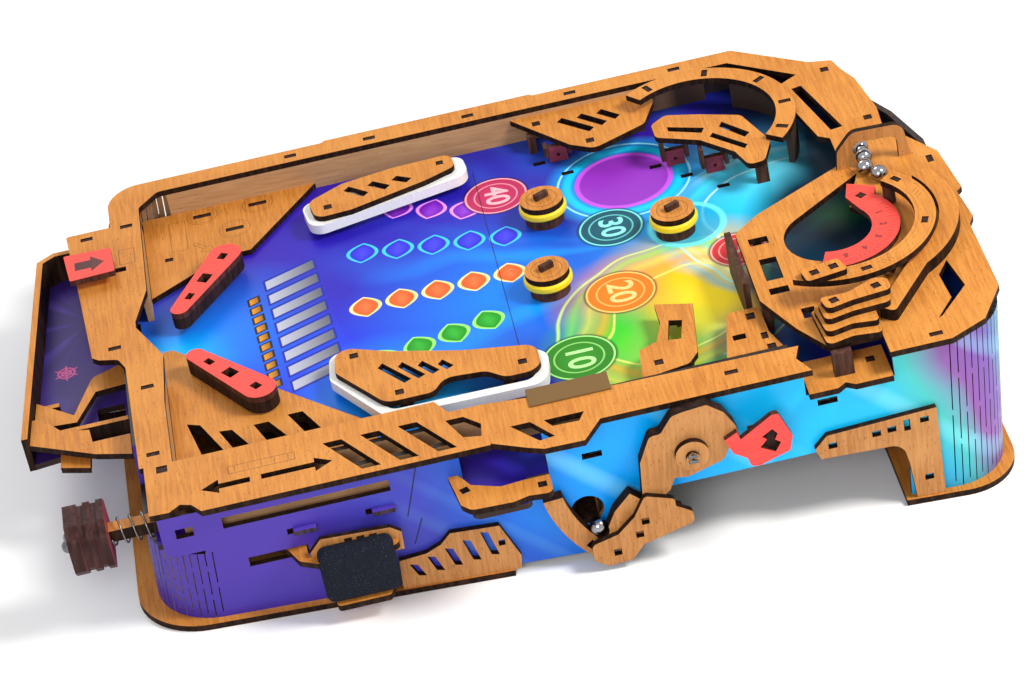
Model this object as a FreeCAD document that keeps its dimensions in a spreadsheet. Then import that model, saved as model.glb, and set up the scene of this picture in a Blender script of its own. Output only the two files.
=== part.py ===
# Table-top bagatelle / pinball game, a kit of 3 mm laser-cut plates.
# Frame: +X to the player's right, +Y to the back, +Z up, millimetres.
# The origin is the middle of the bounding box's underside, on the table.
import FreeCAD, Part
import math
import os
from FreeCAD import Placement, Rotation, Vector

doc = FreeCAD.newDocument("BagatelleGame")
sheet = doc.addObject("Spreadsheet::Sheet", "Sizes")

drivingSizes = [
    ("ply", 3.0, "thickness of every laser-cut plate"),
    ("boxWidth", 272.0, "between the outer faces of the side panels"),
    ("boxLength", 386.0, "from the deck's front datum to the back panel's outer face"),
    ("frontHeight", 64.0, "table to deck top at the front datum"),
    ("tilt", 3.6, "slope of the deck, degrees"),
    ("fieldDrop", 18.0, "deck top down to the playfield"),
    ("rimOver", 3.0, "overhang of the rims past the side panels"),
    ("baseOver", 4.0, "overhang of the base plates past the side panels"),
    ("frontFace", -4.0, "front panel's outer face"),
    ("bendRadius", 28.0, "outer radius of the living-hinge corners"),
    ("slitWidth", 0.5, "width of a living-hinge slit"),
    ("boardSeam", 176.0, "seam between the two playfield boards"),
    ("ballSize", 8.0, "diameter of a steel ball"),
    ("archHeight", 47.0, "deck top down to the raised lower edge of the side panels"),
    ("runClear", 0.06, "radial clearance of a running shaft"),
    ("moveClear", 0.35, "gap beside a piece that moves"),
    ("flipperLength", 46.0, "flipper pivot to the centre of its tip"),
    ("flipperHeel", 8.0, "radius of the flipper's pivot end"),
    ("flipperTip", 4.5, "radius of the flipper's tip"),
    ("flipperLift", 1.0, "gap under a flipper, above the aprons"),
    ("shaftRadius", 4.0, "flipper shaft"),
    ("crankLength", 7.0, "flipper crank, centre to pin"),
    ("crankPin", 2.5, "radius of the crank's rounded end"),
    ("crankStart", 25.0, "crank angle short of square at rest, degrees"),
    ("rodLevel", 36.0, "deck top down to the middle of the button rods"),
    ("buttonReach", 15.5, "button pad's outer face past the side panel"),
    ("plungerDrop", 14.6, "deck top down to the middle of the plunger rod"),
    ("knobAcross", 27.0, "plunger knob across its flats"),
    ("knobLength", 18.0, "plunger knob along the rod"),
    ("springWire", 1.0, "plunger spring wire"),
    ("springRadius", 6.0, "plunger spring, to the middle of its wire"),
    ("liftPin", 3.0, "radius of the ball lift's pivot pin"),
    ("targetWidth", 9.0, "swinging target"),
    ("targetHeight", 8.5, "swinging target"),
    ("targetAxle", 1.1, "radius of a target's axle"),
    ("bumperCap", 10.5, "radius of a bumper's cap"),
    ("bumperRing", 11.6, "radius of a bumper's rubber ring"),
    ("bumperBase", 9.5, "radius of a bumper's base"),
    ("padWidth", 33.0, "flipper button pad along the side"),
    ("padHeight", 20.5, "flipper button pad"),
    ("resetTravel", 8.0, "travel of the reset slider"),
]
for row, (name, value, meaning) in enumerate(drivingSizes, start=1):
    sheet.set(f"A{row}", name)
    sheet.set(f"B{row}", str(value))
    sheet.set(f"C{row}", meaning)
    sheet.setAlias(f"B{row}", name)
doc.recompute()


def size(name):
    return float(sheet.get(name))


ply = size("ply")
right = size("boxWidth") / 2
left = -right
back = size("boxLength")
frontHeight = size("frontHeight")
slope = math.radians(size("tilt"))
field = -size("fieldDrop")
over = size("rimOver")
baseOver = size("baseOver")
frontFace = size("frontFace")
ball = size("ballSize")
run = size("runClear")
clear = size("moveClear")

pieces = []


# ---------------------------------------------------------------- outlines
# An outline is a closed list of corners (x, y), rounded corners (x, y, radius)
# and arcs (centre x, centre y, radius, first angle, last angle).
def arcPoint(item, angle):
    turn = math.radians(angle)
    return Vector(item[0] + item[2] * math.cos(turn), item[1] + item[2] * math.sin(turn), 0)


def entryPoint(item):
    return arcPoint(item, item[3]) if len(item) == 5 else Vector(item[0], item[1], 0)


def exitPoint(item):
    return arcPoint(item, item[4]) if len(item) == 5 else Vector(item[0], item[1], 0)


def arcCurve(centreX, centreY, radius, first, last):
    circle = Part.Circle(Vector(centreX, centreY, 0), Vector(0, 0, 1), radius)
    if abs(last - first) >= 360:
        return circle
    low, high = sorted((math.radians(first), math.radians(last)))
    return Part.ArcOfCircle(circle, low, high)


def roundedCorner(before, item, after):
    corner = Vector(item[0], item[1], 0)
    inward = (before - corner).normalize()
    onward = (after - corner).normalize()
    half = inward.getAngle(onward) / 2
    reach = min(item[2] / math.tan(half), 0.49 * before.distanceToPoint(corner),
                0.49 * after.distanceToPoint(corner))
    radius = reach * math.tan(half)
    middle = corner + (inward + onward).normalize() * (radius / math.sin(half))
    start = corner + inward * reach
    end = corner + onward * reach
    a = math.degrees(math.atan2(start.y - middle.y, start.x - middle.x))
    b = math.degrees(math.atan2(end.y - middle.y, end.x - middle.x))
    if b - a > 180:
        b -= 360
    if a - b > 180:
        b += 360
    return start, end, arcCurve(middle.x, middle.y, radius, a, b)


def closedCurves(outline):
    if len(outline) == 1:
        return [arcCurve(*outline[0])]
    steps = []
    for index, item in enumerate(outline):
        before = exitPoint(outline[index - 1])
        after = entryPoint(outline[(index + 1) % len(outline)])
        if len(item) == 5:
            steps.append((entryPoint(item), exitPoint(item), arcCurve(*item)))
        elif len(item) == 3:
            steps.append(roundedCorner(before, item, after))
        else:
            steps.append((entryPoint(item), exitPoint(item), None))
    curves = []
    for index, (start, end, curve) in enumerate(steps):
        if curve is not None:
            curves.append(curve)
        following = steps[(index + 1) % len(steps)][0]
        if end.distanceToPoint(following) > 1e-6:
            curves.append(Part.LineSegment(end, following))
    return curves


def disc(x, y, radius):
    return [(x, y, radius, 0, 360)]


def window(x, y, wide, high, turn=0.0):
    angle = math.radians(turn)
    corners = [(-wide / 2, -high / 2), (wide / 2, -high / 2), (wide / 2, high / 2), (-wide / 2, high / 2)]
    return [(x + a * math.cos(angle) - b * math.sin(angle),
             y + a * math.sin(angle) + b * math.cos(angle)) for a, b in corners]


def band(centreX, centreY, inner, outer, first, last):
    return [(centreX, centreY, outer, first, last), (centreX, centreY, inner, last, first)]


def mirrored(outline):
    flipped = []
    for item in reversed(outline):
        if len(item) == 5:
            flipped.append((-item[0], item[1], item[2], 180 - item[4], 180 - item[3]))
        else:
            flipped.append((-item[0],) + tuple(item[1:]))
    return flipped


# ------------------------------------------------------------------ frames
deckTurn = Rotation(Vector(1, 0, 0), size("tilt"))
deck = Placement(Vector(0, 0, frontHeight), deckTurn)
sideTurn = Rotation(Vector(0, 1, 0), Vector(0, 0, 1), Vector(1, 0, 0), "XYZ")
crossTurn = Rotation(Vector(1, 0, 0), Vector(0, 0, 1), Vector(0, -1, 0), "XYZ")


def onDeck(level, x=0.0, y=0.0, turn=0.0):
    return deck.multiply(Placement(Vector(x, y, level), Rotation(Vector(0, 0, 1), turn)))


def acrossDeck(y):
    return deck.multiply(Placement(Vector(0, y, 0), crossTurn))


def alongDeck(x):
    return deck.multiply(Placement(Vector(x, 0, 0), sideTurn))


def onSide(x):
    return Placement(Vector(x, 0, 0), sideTurn)


def yz(along, level):
    # point of the deck's side view, seen in the upright frame
    return (along * math.cos(slope) - level * math.sin(slope),
            along * math.sin(slope) + level * math.cos(slope) + frontHeight)


def heightAt(y, level):
    # height above the table of a deck level over the upright coordinate y
    return frontHeight + y * math.tan(slope) + level / math.cos(slope)


def levelAt(along, height):
    # deck level of a height above the table
    return (height - frontHeight - along * math.sin(slope)) / math.cos(slope)


# ---------------------------------------------------------------- builders
def originPlane(body, role):
    return next(item for item in body.Origin.OriginFeatures if item.Role == role)


def sketchOn(body, role, outlines, label):
    sketch = body.newObject("Sketcher::SketchObject", label)
    sketch.AttachmentSupport = [(originPlane(body, role), "")]
    sketch.MapMode = "FlatFace"
    for outline in outlines:
        sketch.addGeometry(closedCurves(outline), False)
    return sketch


def newBody(label, place):
    body = doc.addObject("PartDesign::Body", label)
    body.Label = label
    body.Placement = place
    pieces.append(body)
    return body


def padOn(body, outlines, length, label, role="XY_Plane", offset=None, reverse=False):
    sketch = sketchOn(body, role, outlines, label + "Sketch")
    if offset is not None:
        sketch.AttachmentOffset = offset
    pad = body.newObject("PartDesign::Pad", label)
    pad.Profile = sketch
    if isinstance(length, str):
        pad.setExpression("Length", length)
    else:
        pad.Length = length
    pad.Reversed = reverse
    body.Tip = pad
    return pad


def pocketIn(body, outlines, length, label, role="XY_Plane", offset=None):
    sketch = sketchOn(body, role, outlines, label + "Sketch")
    if offset is not None:
        sketch.AttachmentOffset = offset
    pocket = body.newObject("PartDesign::Pocket", label)
    pocket.Profile = sketch
    pocket.Midplane = True
    pocket.Length = length
    body.Tip = pocket
    return pocket


def plate(label, outline, place, cuts=(), thick="Sizes.ply"):
    body = newBody(label, place)
    padOn(body, [outline, *cuts], thick, label + "Pad")
    return body


def slab(outline, thick, base=0.0, cuts=()):
    wires = [Part.Wire(Part.__sortEdges__([curve.toShape() for curve in closedCurves(loop)]))
             for loop in (outline, *cuts)]
    face = Part.makeFace(wires, "Part::FaceMakerBullseye")
    face.translate(Vector(0, 0, base))
    return face.extrude(Vector(0, 0, thick))


def group(label, solids, place=Placement()):
    item = doc.addObject("Part::Feature", label)
    item.Label = label
    item.Shape = Part.makeCompound(solids)
    item.Placement = place
    pieces.append(item)
    return item


def placed(shape, place):
    moved = shape.copy()
    moved.Placement = place.multiply(moved.Placement)
    return moved


def rod(radius, length, x=0.0, y=0.0, z=0.0, along=Vector(0, 0, 1)):
    return Part.makeCylinder(radius, length, Vector(x, y, z), along)


# ------------------------------------------------------------- base plates
frontBaseDepth = 155.0
rearBaseFront = back - 52.0
cabinetBack = yz(back, -ply)[0]
cornerCut = (back - 71, back - 35, back - 9)      # where the back-left wall turns, along Y
cutIn = (26.0, 80.0, 110.0)            # how far in from the left it has come

frontBase = [
    (left - baseOver, frontBaseDepth), (left - baseOver, frontFace - 9, 30),
    (right + baseOver, frontFace - 9, 30), (right + baseOver, frontBaseDepth),
]
rearBase = [
    (left - baseOver, rearBaseFront - 15),
    (left - baseOver, rearBaseFront - 72), (left + 14, rearBaseFront - 72),
    (left + 40, rearBaseFront), (right + baseOver, rearBaseFront),
    (right + baseOver, cabinetBack + baseOver, size("bendRadius") + baseOver),
    (left + cutIn[2], cabinetBack + baseOver), (left + cutIn[1] - 2, cabinetBack - 4),
    (left + cutIn[0] - 4, cabinetBack - 30),
]
group("base_plates", [slab(frontBase, ply), slab(rearBase, ply)])

# ------------------------------------------------------ wrap-round panels
seamFront = 130.0
slotEnd = 64.0                          # rear end of the button rods' slots
seamRear = back - 49.0
bend = size("bendRadius")
wallInner = bend - ply
cornerTop = -25.0                       # deck level of the lowered front corner
frontLeg = 60.0                         # panel's reach along the front and back


def topPlane(reach):
    # region above the underside of the rims, in the upright side view
    return [yz(-80, -ply), yz(reach, -ply), yz(reach, 90), yz(-80, 90)]


def livingHinge(body, first, reverse, low, high, name, beyond=4.0):
    # two rows of slits, staggered, patterned round the bend's axis
    middle = (low + high) / 2
    bridge = 3.0
    depth = (wallInner - 2, bend + 2)
    rows = (
        (0.0, [(low + bridge, middle - bridge / 2), (middle + bridge / 2, high + beyond)]),
        (7.0, [(low - 1, low + (high - low) * 0.28),
               (low + (high - low) * 0.28 + bridge, high - (high - low) * 0.28),
               (high - (high - low) * 0.28 + bridge, high + beyond)]),
    )
    for index, (shift, spans) in enumerate(rows):
        angle = first + (-shift if reverse else shift)
        outlines = [[(depth[0], a), (depth[1], a), (depth[1], b), (depth[0], b)] for a, b in spans]
        slit = pocketIn(body, outlines, size("slitWidth"), f"{name}Slit{index}", "XZ_Plane",
                        Placement(Vector(0, 0, 0), Rotation(Vector(0, 1, 0), angle)))
        slit.setExpression("Length", "Sizes.slitWidth")
        row = body.newObject("PartDesign::PolarPattern", f"{name}Row{index}")
        row.Originals = [slit]
        row.Axis = (next(o for o in body.Origin.OriginFeatures if o.Role == "Z_Axis"), [""])
        row.Reversed = reverse
        row.Angle = 70
        row.Occurrences = 6
        body.Tip = row


# right front: the lower part turns the corner, the upper part runs on as a tab
bendY = frontFace + bend
cornerHeight = yz(0, cornerTop)[1]
rightFront = newBody("panel_right_front", Placement(Vector(right - bend, bendY, 0), Rotation()))
bentPlan = [
    (bend, seamFront - bendY), (0, 0, bend, 0, -90), (bend - frontLeg, -bend),
    (bend - frontLeg, -wallInner), (0, 0, wallInner, -90, 0), (wallInner, seamFront - bendY),
]
padOn(rightFront, [bentPlan], cornerHeight - ply, "rightFrontLower", offset=Placement(Vector(0, 0, ply), Rotation()))
flatTop = [(20, cornerHeight - 4), (seamFront, cornerHeight - 4), (seamFront, yz(seamFront, -ply)[1]),
           yz(2.5, -ply), yz(2.5, cornerTop + 4), yz(6, cornerTop + 0.6), yz(20, cornerTop + 0.6)]
padOn(rightFront, [[(a - bendY, b) for a, b in flatTop]], "Sizes.ply", "rightFrontUpper", "YZ_Plane",
      Placement(Vector(0, 0, wallInner), Rotation()))
sideCuts = [
    window(67.5, -12, 75, 6), window(slotEnd - 13.5, -size("rodLevel"), 27, 5),
    window(13, -12.5, 8, 5), window(59.5, -24.5, 6, 3), window(95, -23.5, 6, 3),
]
pocketIn(rightFront, [[(yz(*p)[0] - bendY, yz(*p)[1]) for p in cut] for cut in sideCuts],
         4 * bend, "rightFrontSlots", "YZ_Plane")
livingHinge(rightFront, 0, True, ply, cornerHeight, "rightFront", 0.4)

# left front: mirror image without the tab, full height all the way round
leftFront = newBody("panel_left_front", Placement(Vector(left + bend, bendY, 0), Rotation()))
padOn(leftFront, [mirrored(bentPlan)], yz(seamFront, -ply)[1], "leftFrontPad",
      offset=Placement(Vector(0, 0, ply), Rotation()))
pocketIn(leftFront, [[(a - bendY, b) for a, b in topPlane(200)]], 4 * bend, "leftFrontTop", "YZ_Plane")
pocketIn(leftFront, [[(yz(*p)[0] - bendY, yz(*p)[1]) for p in window(slotEnd - 13.5, -size("rodLevel"), 27, 5)]],
         4 * bend, "leftFrontSlot", "YZ_Plane")
livingHinge(leftFront, 180, False, ply, yz(0, -ply)[1], "leftFront")

# right middle: flat, with the lane's mouth, the ball hole and the raised lower edge
laneMouth = (137.0, 174.5)
ballHole = (188.0, -49.5)
liftPivot = (237.0, -24.0)
gateGap = (back - 94.0, back - 54.0)
gateLevel = -15.0
archEdge = -size("archHeight")
middleOutline = [
    (seamFront, ply), (200, ply), yz(214, archEdge), (seamRear, yz(seamRear, archEdge)[1]),
    (seamRear, yz(seamRear, -ply)[1]), yz(gateGap[1], -ply), yz(gateGap[1], gateLevel),
    yz(gateGap[0], gateLevel), yz(gateGap[0], -ply), yz(laneMouth[1], -ply),
    yz(laneMouth[1], -29), yz(laneMouth[0] + 5, -29), yz(laneMouth[0], -24), yz(laneMouth[0], -ply),
    (seamFront, yz(seamFront, -ply)[1]),
]
holeAt = yz(*ballHole)
pivotAt = yz(*liftPivot)
plate("panel_right_middle", middleOutline, onSide(right - ply), [
    disc(holeAt[0], holeAt[1], 7.5), disc(pivotAt[0], pivotAt[1], size("liftPin") + run),
    [yz(*p) for p in window(ballHole[0] + 6.5, -20.5, 9, 3.2)],
    [yz(*p) for p in window(gateGap[0] + 9, -20.5, 9, 3.2)],
])

# right rear: turns the back corner
bendYRear = cabinetBack - bend
rearPlan = [
    (bend, seamRear - bendYRear), (wallInner, seamRear - bendYRear), (0, 0, wallInner, 0, 90),
    (bend - frontLeg, wallInner), (bend - frontLeg, bend), (0, 0, bend, 90, 0),
]
rightRear = newBody("panel_right_rear", Placement(Vector(right - bend, bendYRear, 0), Rotation()))
padOn(rightRear, [rearPlan], yz(back, 0)[1], "rightRearPad", offset=Placement(Vector(0, 0, ply), Rotation()))
pocketIn(rightRear, [[(a - bendYRear, b) for a, b in topPlane(back + 80)]], 4 * bend, "rightRearTop", "YZ_Plane")
livingHinge(rightRear, 0, False, ply, yz(back, -ply)[1], "rightRear")


# left rear and back: a wall that follows the cut-off back-left corner
def leftWall(inset):
    return [(left + inset, seamFront), (left + inset, cornerCut[0] - inset * 0.4),
            (left + cutIn[0] + inset * 0.75, cornerCut[1] - inset * 0.7),
            (left + cutIn[1] + inset * 0.4, cornerCut[2] - inset * 0.9),
            (left + cutIn[2], cabinetBack - inset)]


leftPlan = leftWall(0) + list(reversed(leftWall(ply)))
leftHeight = yz(back, 0)[1]
above = slab(topPlane(back + 80), 2 * size("boxWidth"))
above.Placement = Placement(Vector(-size("boxWidth"), 0, 0), sideTurn)
archBelow = slab([(200, -5), yz(214, archEdge), (250, yz(250, archEdge)[1]), (264, -5)], size("boxWidth"))
archBelow.Placement = Placement(Vector(-size("boxWidth"), 0, 0), sideTurn)
leftRear = slab(leftPlan, leftHeight, ply).cut(above).cut(archBelow)
group("panel_left_rear", [leftRear])
backPlan = [(left + cutIn[2], cabinetBack - ply), (right - frontLeg, cabinetBack - ply),
            (right - frontLeg, cabinetBack), (left + cutIn[2], cabinetBack)]
group("panel_back", [slab(backPlan, leftHeight, ply).cut(above)])

# front panel, with the drain window into the tray and the return chute's notch
drain = (-43.0, 14.0)
chuteAt = -115.0
chuteWide = 14.0
panelTop = heightAt(frontFace, -ply)
windowLow = heightAt(frontFace, field - ply)
windowHigh = heightAt(frontFace, -6.0)
resetX = left + 70.5
resetNotch = heightAt(frontFace, -6.5)
plate("panel_front", [
    (left + frontLeg, ply), (right - frontLeg, ply), (right - frontLeg, panelTop), (resetX + 5, panelTop),
    (resetX + 5, resetNotch), (resetX - 5, resetNotch), (resetX - 5, panelTop), (left + frontLeg, panelTop)],
      Placement(Vector(0, frontFace + ply, 0), crossTurn), [
      [(drain[0], windowLow), (drain[1], windowLow),
       (drain[1], windowHigh), (drain[0], windowHigh)],
      window(right + chuteAt, 33.5, chuteWide + 0.6, 13)])

# --------------------------------------------------- grille and leg plates
baseTop = ply


def low(along):
    return levelAt(along, baseTop)


grilleFront = 104.5
grille = [(grilleFront, baseTop), (158, baseTop), yz(155, -64), yz(148, -45), yz(126, -43), yz(121, -48),
          yz(114, -51), (grilleFront, yz(103, -52)[1])]
grilleCuts = [[yz(108.5 + 8.4 * k, -62 + k * 0.6), yz(112 + 8.4 * k, -63 + k * 0.6),
               yz(109 + 8.4 * k, -56 + 2.2 * k), yz(105.5 + 8.4 * k, -55 + 2.2 * k)] for k in range(5)]
grilleCuts.append([yz(*p) for p in window(147.6, -54.5, 3, 3)])
legBack = back - 38.0
leg = [yz(legBack - 54, -49), yz(legBack - 56, -43), yz(legBack - 50, -37), yz(legBack, -35),
       (legBack + 4, baseTop), (legBack - 9, baseTop), yz(legBack - 15, -62), (*yz(legBack - 17, -51), 8)]
legCuts = [[yz(*p) for p in window(legBack + cut[0], *cut[1:])] for cut in
           ((-48, -43, 4, 3), (-28, -42, 4, 3), (-21, -41.5, 4, 3), (-14, -41, 3, 6), (-6, -40, 4, 3),
            (-7, -72, 4, 3))]
leftLegShift = -72.0
leftLeg = [(p[0] + leftLegShift, *p[1:]) for p in leg]
group("side_foot_plates", [
    placed(slab(grille, ply, cuts=grilleCuts), onSide(right)),
    placed(slab(grille, ply, cuts=grilleCuts), onSide(left - ply)),
    placed(slab(leg, ply, cuts=legCuts), onSide(right)),
    placed(slab(leftLeg, ply, cuts=[[(p[0] + leftLegShift, p[1]) for p in cut] for cut in legCuts]),
           onSide(left - ply)),
])

# --------------------------------------------------------- playfield boards
boardSeam = size("boardSeam")
inRight = right - ply
inLeft = left + ply
leftPivot = (left + 69.0, 50.0)
rightPivot = (right - 86.0, 56.0)
apronSlots = [[(right + x, y) for x, y in slot] for slot in (
    [(-84, 20), (-81, 26), (-53, 37), (-52, 26)], [(-73, 34), (-72, 40), (-47, 52), (-47, 43)],
    [(-72, 50), (-72, 57), (-49, 69), (-49, 58)], [(-74, 66), (-74, 73), (-49, 84), (-49, 76)])]
shaftHole = size("shaftRadius") + run
postSlots = [window(left + 32, 209, 3, 6), window(left + 46, 221, 3, 6), window(left + 58, 263, 3, 6),
             window(left + 72, 276, 3, 6), window(left + 88, 291, 3, 6)]
boardFront = [
    (inLeft, 0, wallInner - 1), (drain[0], 0), (drain[0], 4), (drain[1], 4), (drain[1], 0),
    (inRight, 0), (inRight, laneMouth[0] + 0.5), (right + 27, laneMouth[0] + 0.5, 4),
    (right + 27, 164, 3), (right + 8.8, 164), (right + 8.8, laneMouth[1] - 0.5),
    (inRight, laneMouth[1] - 0.5), (inRight, boardSeam),
    (inLeft, boardSeam),
]
boardRear = [
    (inLeft, boardSeam), (inRight, boardSeam), (inRight, back - bend - 1),
    (right - bend * 0.55, back - bend * 0.5), (right - bend - 2, back - ply - 2),
    (left + cutIn[2] + 4, back - ply - 2), (left + cutIn[1] + 4, cornerCut[2] - 6),
    (left + cutIn[0] + 5, cornerCut[1] - 6), (inLeft, cornerCut[0] - 3),
]
group("playfield_boards", [
    slab(boardFront, ply, cuts=apronSlots + [disc(*leftPivot, shaftHole), disc(*rightPivot, shaftHole)]),
    slab(boardRear, ply, cuts=postSlots),
], onDeck(field - ply))

# -------------------------------------------------- hidden ribs and chutes
boardUnder = field - ply
chuteFloor = 2.0
chuteWall = 7.5
chuteSlope = 1.5
holeFloor = holeAt[1] - ball / 2 - 1.5
crossSlope = 2.0
crossLength = -chuteAt - ply + chuteWide / 2
crossRise = (-chuteAt - ply) * math.tan(math.radians(crossSlope))
chuteY = holeAt[0]
deliverAt = holeFloor + crossRise
ribFront = 100.0
ribMiddle = 250.0
ribRear = back - 41.0


def chute(length):
    outer = Part.makeBox(length, chuteWide, chuteFloor + chuteWall, Vector(0, -chuteWide / 2, -chuteFloor))
    inner = Part.makeBox(length + 2, chuteWide - 2 * chuteFloor, chuteWall + 1,
                         Vector(-1, -chuteWide / 2 + chuteFloor, 0))
    return outer.cut(inner)


crossChute = chute(crossLength)
crossChute.Placement = Placement(Vector(inRight - clear, chuteY, holeFloor),
                                 Rotation(Vector(0, 0, 1), 180).multiply(Rotation(Vector(0, 1, 0), -crossSlope)))
mouth = Part.makeBox(chuteWide - 2 * chuteFloor, chuteWide, 20,
                     Vector(right + chuteAt - chuteWide / 2 + chuteFloor, chuteY - chuteWide, deliverAt + 0.4))
crossChute = crossChute.cut(mouth)
frontEnd = -22.0
runLength = chuteY - chuteWide / 2 - frontEnd
longChute = chute(runLength)
longChute.Placement = Placement(Vector(right + chuteAt, chuteY - chuteWide / 2 - 0.3, deliverAt + 0.4),
                                Rotation(Vector(0, 0, 1), -90).multiply(Rotation(Vector(0, 1, 0), -chuteSlope)))
group("ball_chutes", [longChute, crossChute])

notchHalf = chuteWide / 2 + 0.2


def chuteUnder(y):
    return deliverAt + 0.4 - chuteFloor + (chuteY - chuteWide / 2 - y) * math.tan(math.radians(chuteSlope))


notchLow = levelAt(ribFront, chuteUnder(ribFront) - 0.15)
ribPlates = [
    placed(slab([
        (inLeft, low(ribFront - ply)), (inRight, low(ribFront - ply)), (inRight, boardUnder),
        (right + chuteAt + notchHalf, boardUnder), (right + chuteAt + notchHalf, notchLow),
        (right + chuteAt - notchHalf, notchLow), (right + chuteAt - notchHalf, boardUnder),
        (inLeft, boardUnder)], ply), acrossDeck(ribFront)),
    placed(slab([
        (inLeft, archEdge + 2), (inRight, archEdge + 2), (inRight, boardUnder), (inLeft, boardUnder)],
        ply), acrossDeck(ribMiddle)),
    placed(slab([
        (left + cutIn[0] + 6, low(ribRear - ply)), (inRight, low(ribRear - ply)), (inRight, boardUnder),
        (left + cutIn[0] + 6, boardUnder)], ply), acrossDeck(ribRear)),
]
group("cross_ribs", ribPlates)

# -------------------------------------------------------------------- rims
rimLevel = onDeck(-ply)
laneX = right - 15.5
resetAt = (resetX, -10.0)
resetSlot = [(resetAt[0] - 1.9, -15.4), (resetAt[0] + 1.9, -15.4), (resetAt[0] + 1.9, 2.6), (resetAt[0] - 1.9, 2.6)]
rimSeam = 66.0
innerLeft = left + 8
startInner = right - 37
plate("rim_front", [
    (left - over, rimSeam), (left - over, -over, 20), (left + 31, -over), (left + 31, -25, 1.5),
    (left + 89, -21), (right - 132, -18), (right - 129, -15), (right - 126, -6, 3), (right - 118, -3),
    (startInner, -2), (startInner, 13), (right - 85, 13), (right - 122, 15), (-13, 4),
    (-18, 4), (drain[0], 11), (left + 19, 12, 4), (innerLeft, 22, 4), (innerLeft, rimSeam),
], rimLevel, [
    window(left + 37, -15, 3, 6), window(right - 136, -7, 3, 6), window(right - 99, 6, 3, 6),
    window(left + 33, 5, 3, 6), window(right - 46, 5, 3, 6), resetSlot,
])
plate("rim_left", [
    (left - over, rimSeam), (innerLeft, rimSeam), (innerLeft, back - 75), (left + 33, back - 45),
    (left + 24, back - 37), (left - over, back - 71), (left - over, 214), (left - over - 1.5, 212),
    (left - over - 1.5, 108), (left - over, 106),
], rimLevel, [window(left + 2.5, y, 3, 6) for y in (90, 130, 180, 232, 285)])
startEnd = 152.0
laneSlots = [[(right - 25, 80 + 17 * k), (right, 95 + 17 * k), (right, 103.5 + 17 * k),
              (right - 25, 88.5 + 17 * k)] for k in range(3)]
laneSlots.append([(right - 21, 135), (right - 6, 141), (right - 4, 149), (right - 13, 150), (right - 21, 143)])


def arrow(x, tail, tip):
    way = 1 if tip > tail else -1
    neck = tip - way * 8
    return [(x - 1.8, tail), (x + 1.8, tail), (x + 1.8, neck), (x + 5, neck), (x, tip), (x - 5, neck),
            (x - 1.8, neck)]


plate("rim_start", [
    (startInner, 0), (right - 0.5, 0), (right, 9), (right - 4, 14), (right - 2, 19), (right + over + 1, 23),
    (right + over + 1, startEnd), (right - 27, startEnd), (right - 27, 137), (startInner, 132),
], rimLevel, laneSlots + [arrow(right - 11, 46, 24), arrow(right - 11, 51, 83), window(right - 33, 8, 5, 5)])
hexRim = [
    (right - 27, startEnd), (right + over, startEnd), (right + 12, 167), (right + 15.5, 174),
    (right + 16, 192), (right + over, 201), (right + over, gateGap[0] + 4), (right - 8, gateGap[0] - 1),
    (right - 17, gateGap[0] + 2), (right - 19, 212), (right - 25, 168),
]
plate("rim_right", hexRim, rimLevel, [
    [(right - 6, 162), (right - 6, 171), (right + 8, 180), (right + 9, 173)],
    [(right - 5, 177), (right - 5, 195), (right + 1, 192), (right + 0.5, 180)],
    window(right - 9, 262, 3, 6),
])
bonusEnd = right - 176
bonusOutline = [
    (left + 24, back - 37), (left + 27, back - 26), (left + 38, back - 23), (left + 48, back - 19),
    (bonusEnd - 18, back - 15), (bonusEnd - 2, back - 16), (bonusEnd, back - 42), (bonusEnd - 4, back - 47),
    (left + 41, back - 58), (left + 33, back - 45),
]
plate("bonus_plate", bonusOutline, rimLevel, [
    [(left + 45, back - 50), (left + 44, back - 45), (bonusEnd - 8, back - 34), (bonusEnd - 7, back - 40)],
    window(left + 34, back - 31, 4, 4), window(bonusEnd - 11, back - 21, 4, 4),
])

# ------------------------------------------------- back-right corner group
ringX = right - 97
ringY = back - 59.0
floorRadius = 22.0
plate("corner_plate", [
    (bonusEnd - 2, back - 16), (bonusEnd + 11, back - 9), (bonusEnd + 31, back + 3), (right - 111, back + 6),
    (right - 108, back + 3), (right - 86, back + 5), (right - 80, back + 2), (right - 28, back + 2),
    (right - 6, back - 10), (right + over, back - 27), (right + over, gateGap[1] - 1),
    (ringX + floorRadius, gateGap[1] - 1), (ringX, ringY, floorRadius, 10.5, 145),
    (right - 141, back - 37), (right - 152, back - 42), (bonusEnd, back - 42),
], rimLevel, [
    [(right - 56, back - 15), (right - 34, back - 12), (right - 15, back - 27), (right - 14, back - 29),
     (right - 27, back - 20), (right - 46, back - 21)],
    window(right - 3, back - 33, 3, 6), window(right - 100, back - 3, 6, 3), window(right - 140, back - 2, 6, 3),
])
railBend = 35.0
outerRail = [
    (ringX, ringY, 59, 118, railBend), (right - 18, gateGap[1] + 7, 2), (right - 24, gateGap[1] + 0.5, 2),
    (ringX, ringY, 50, railBend, 118),
]
plate("outer_rail", outerRail, onDeck(0), thick="2 * Sizes.ply")
plate("score_gauge", [
    (ringX, ringY, 32, -20, 128), (ringX - 26, ringY + 27), (ringX - 33, ringY + 15),
    (ringX - 22, ringY + 12), (ringX, ringY, 19, 120, -20),
], onDeck(0), [window(ringX - 21, ringY + 19, 4, 4, 35)])
coverLevel = 3 * ply
coverX = ringX + 9
coverY = ringY + 0.5
plate("return_cover", [
    (coverX, coverY, 46.5, -36, 132), (coverX, coverY, 37, 132, -36),
], onDeck(coverLevel), [window(coverX + 41.7 * math.cos(math.radians(a)), coverY + 41.7 * math.sin(math.radians(a)),
                               3, 5, a) for a in (124, 70, 8, -28)])
wavyFront = gateGap[0] + 12
wavyBack = gateGap[1] - 1
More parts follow.
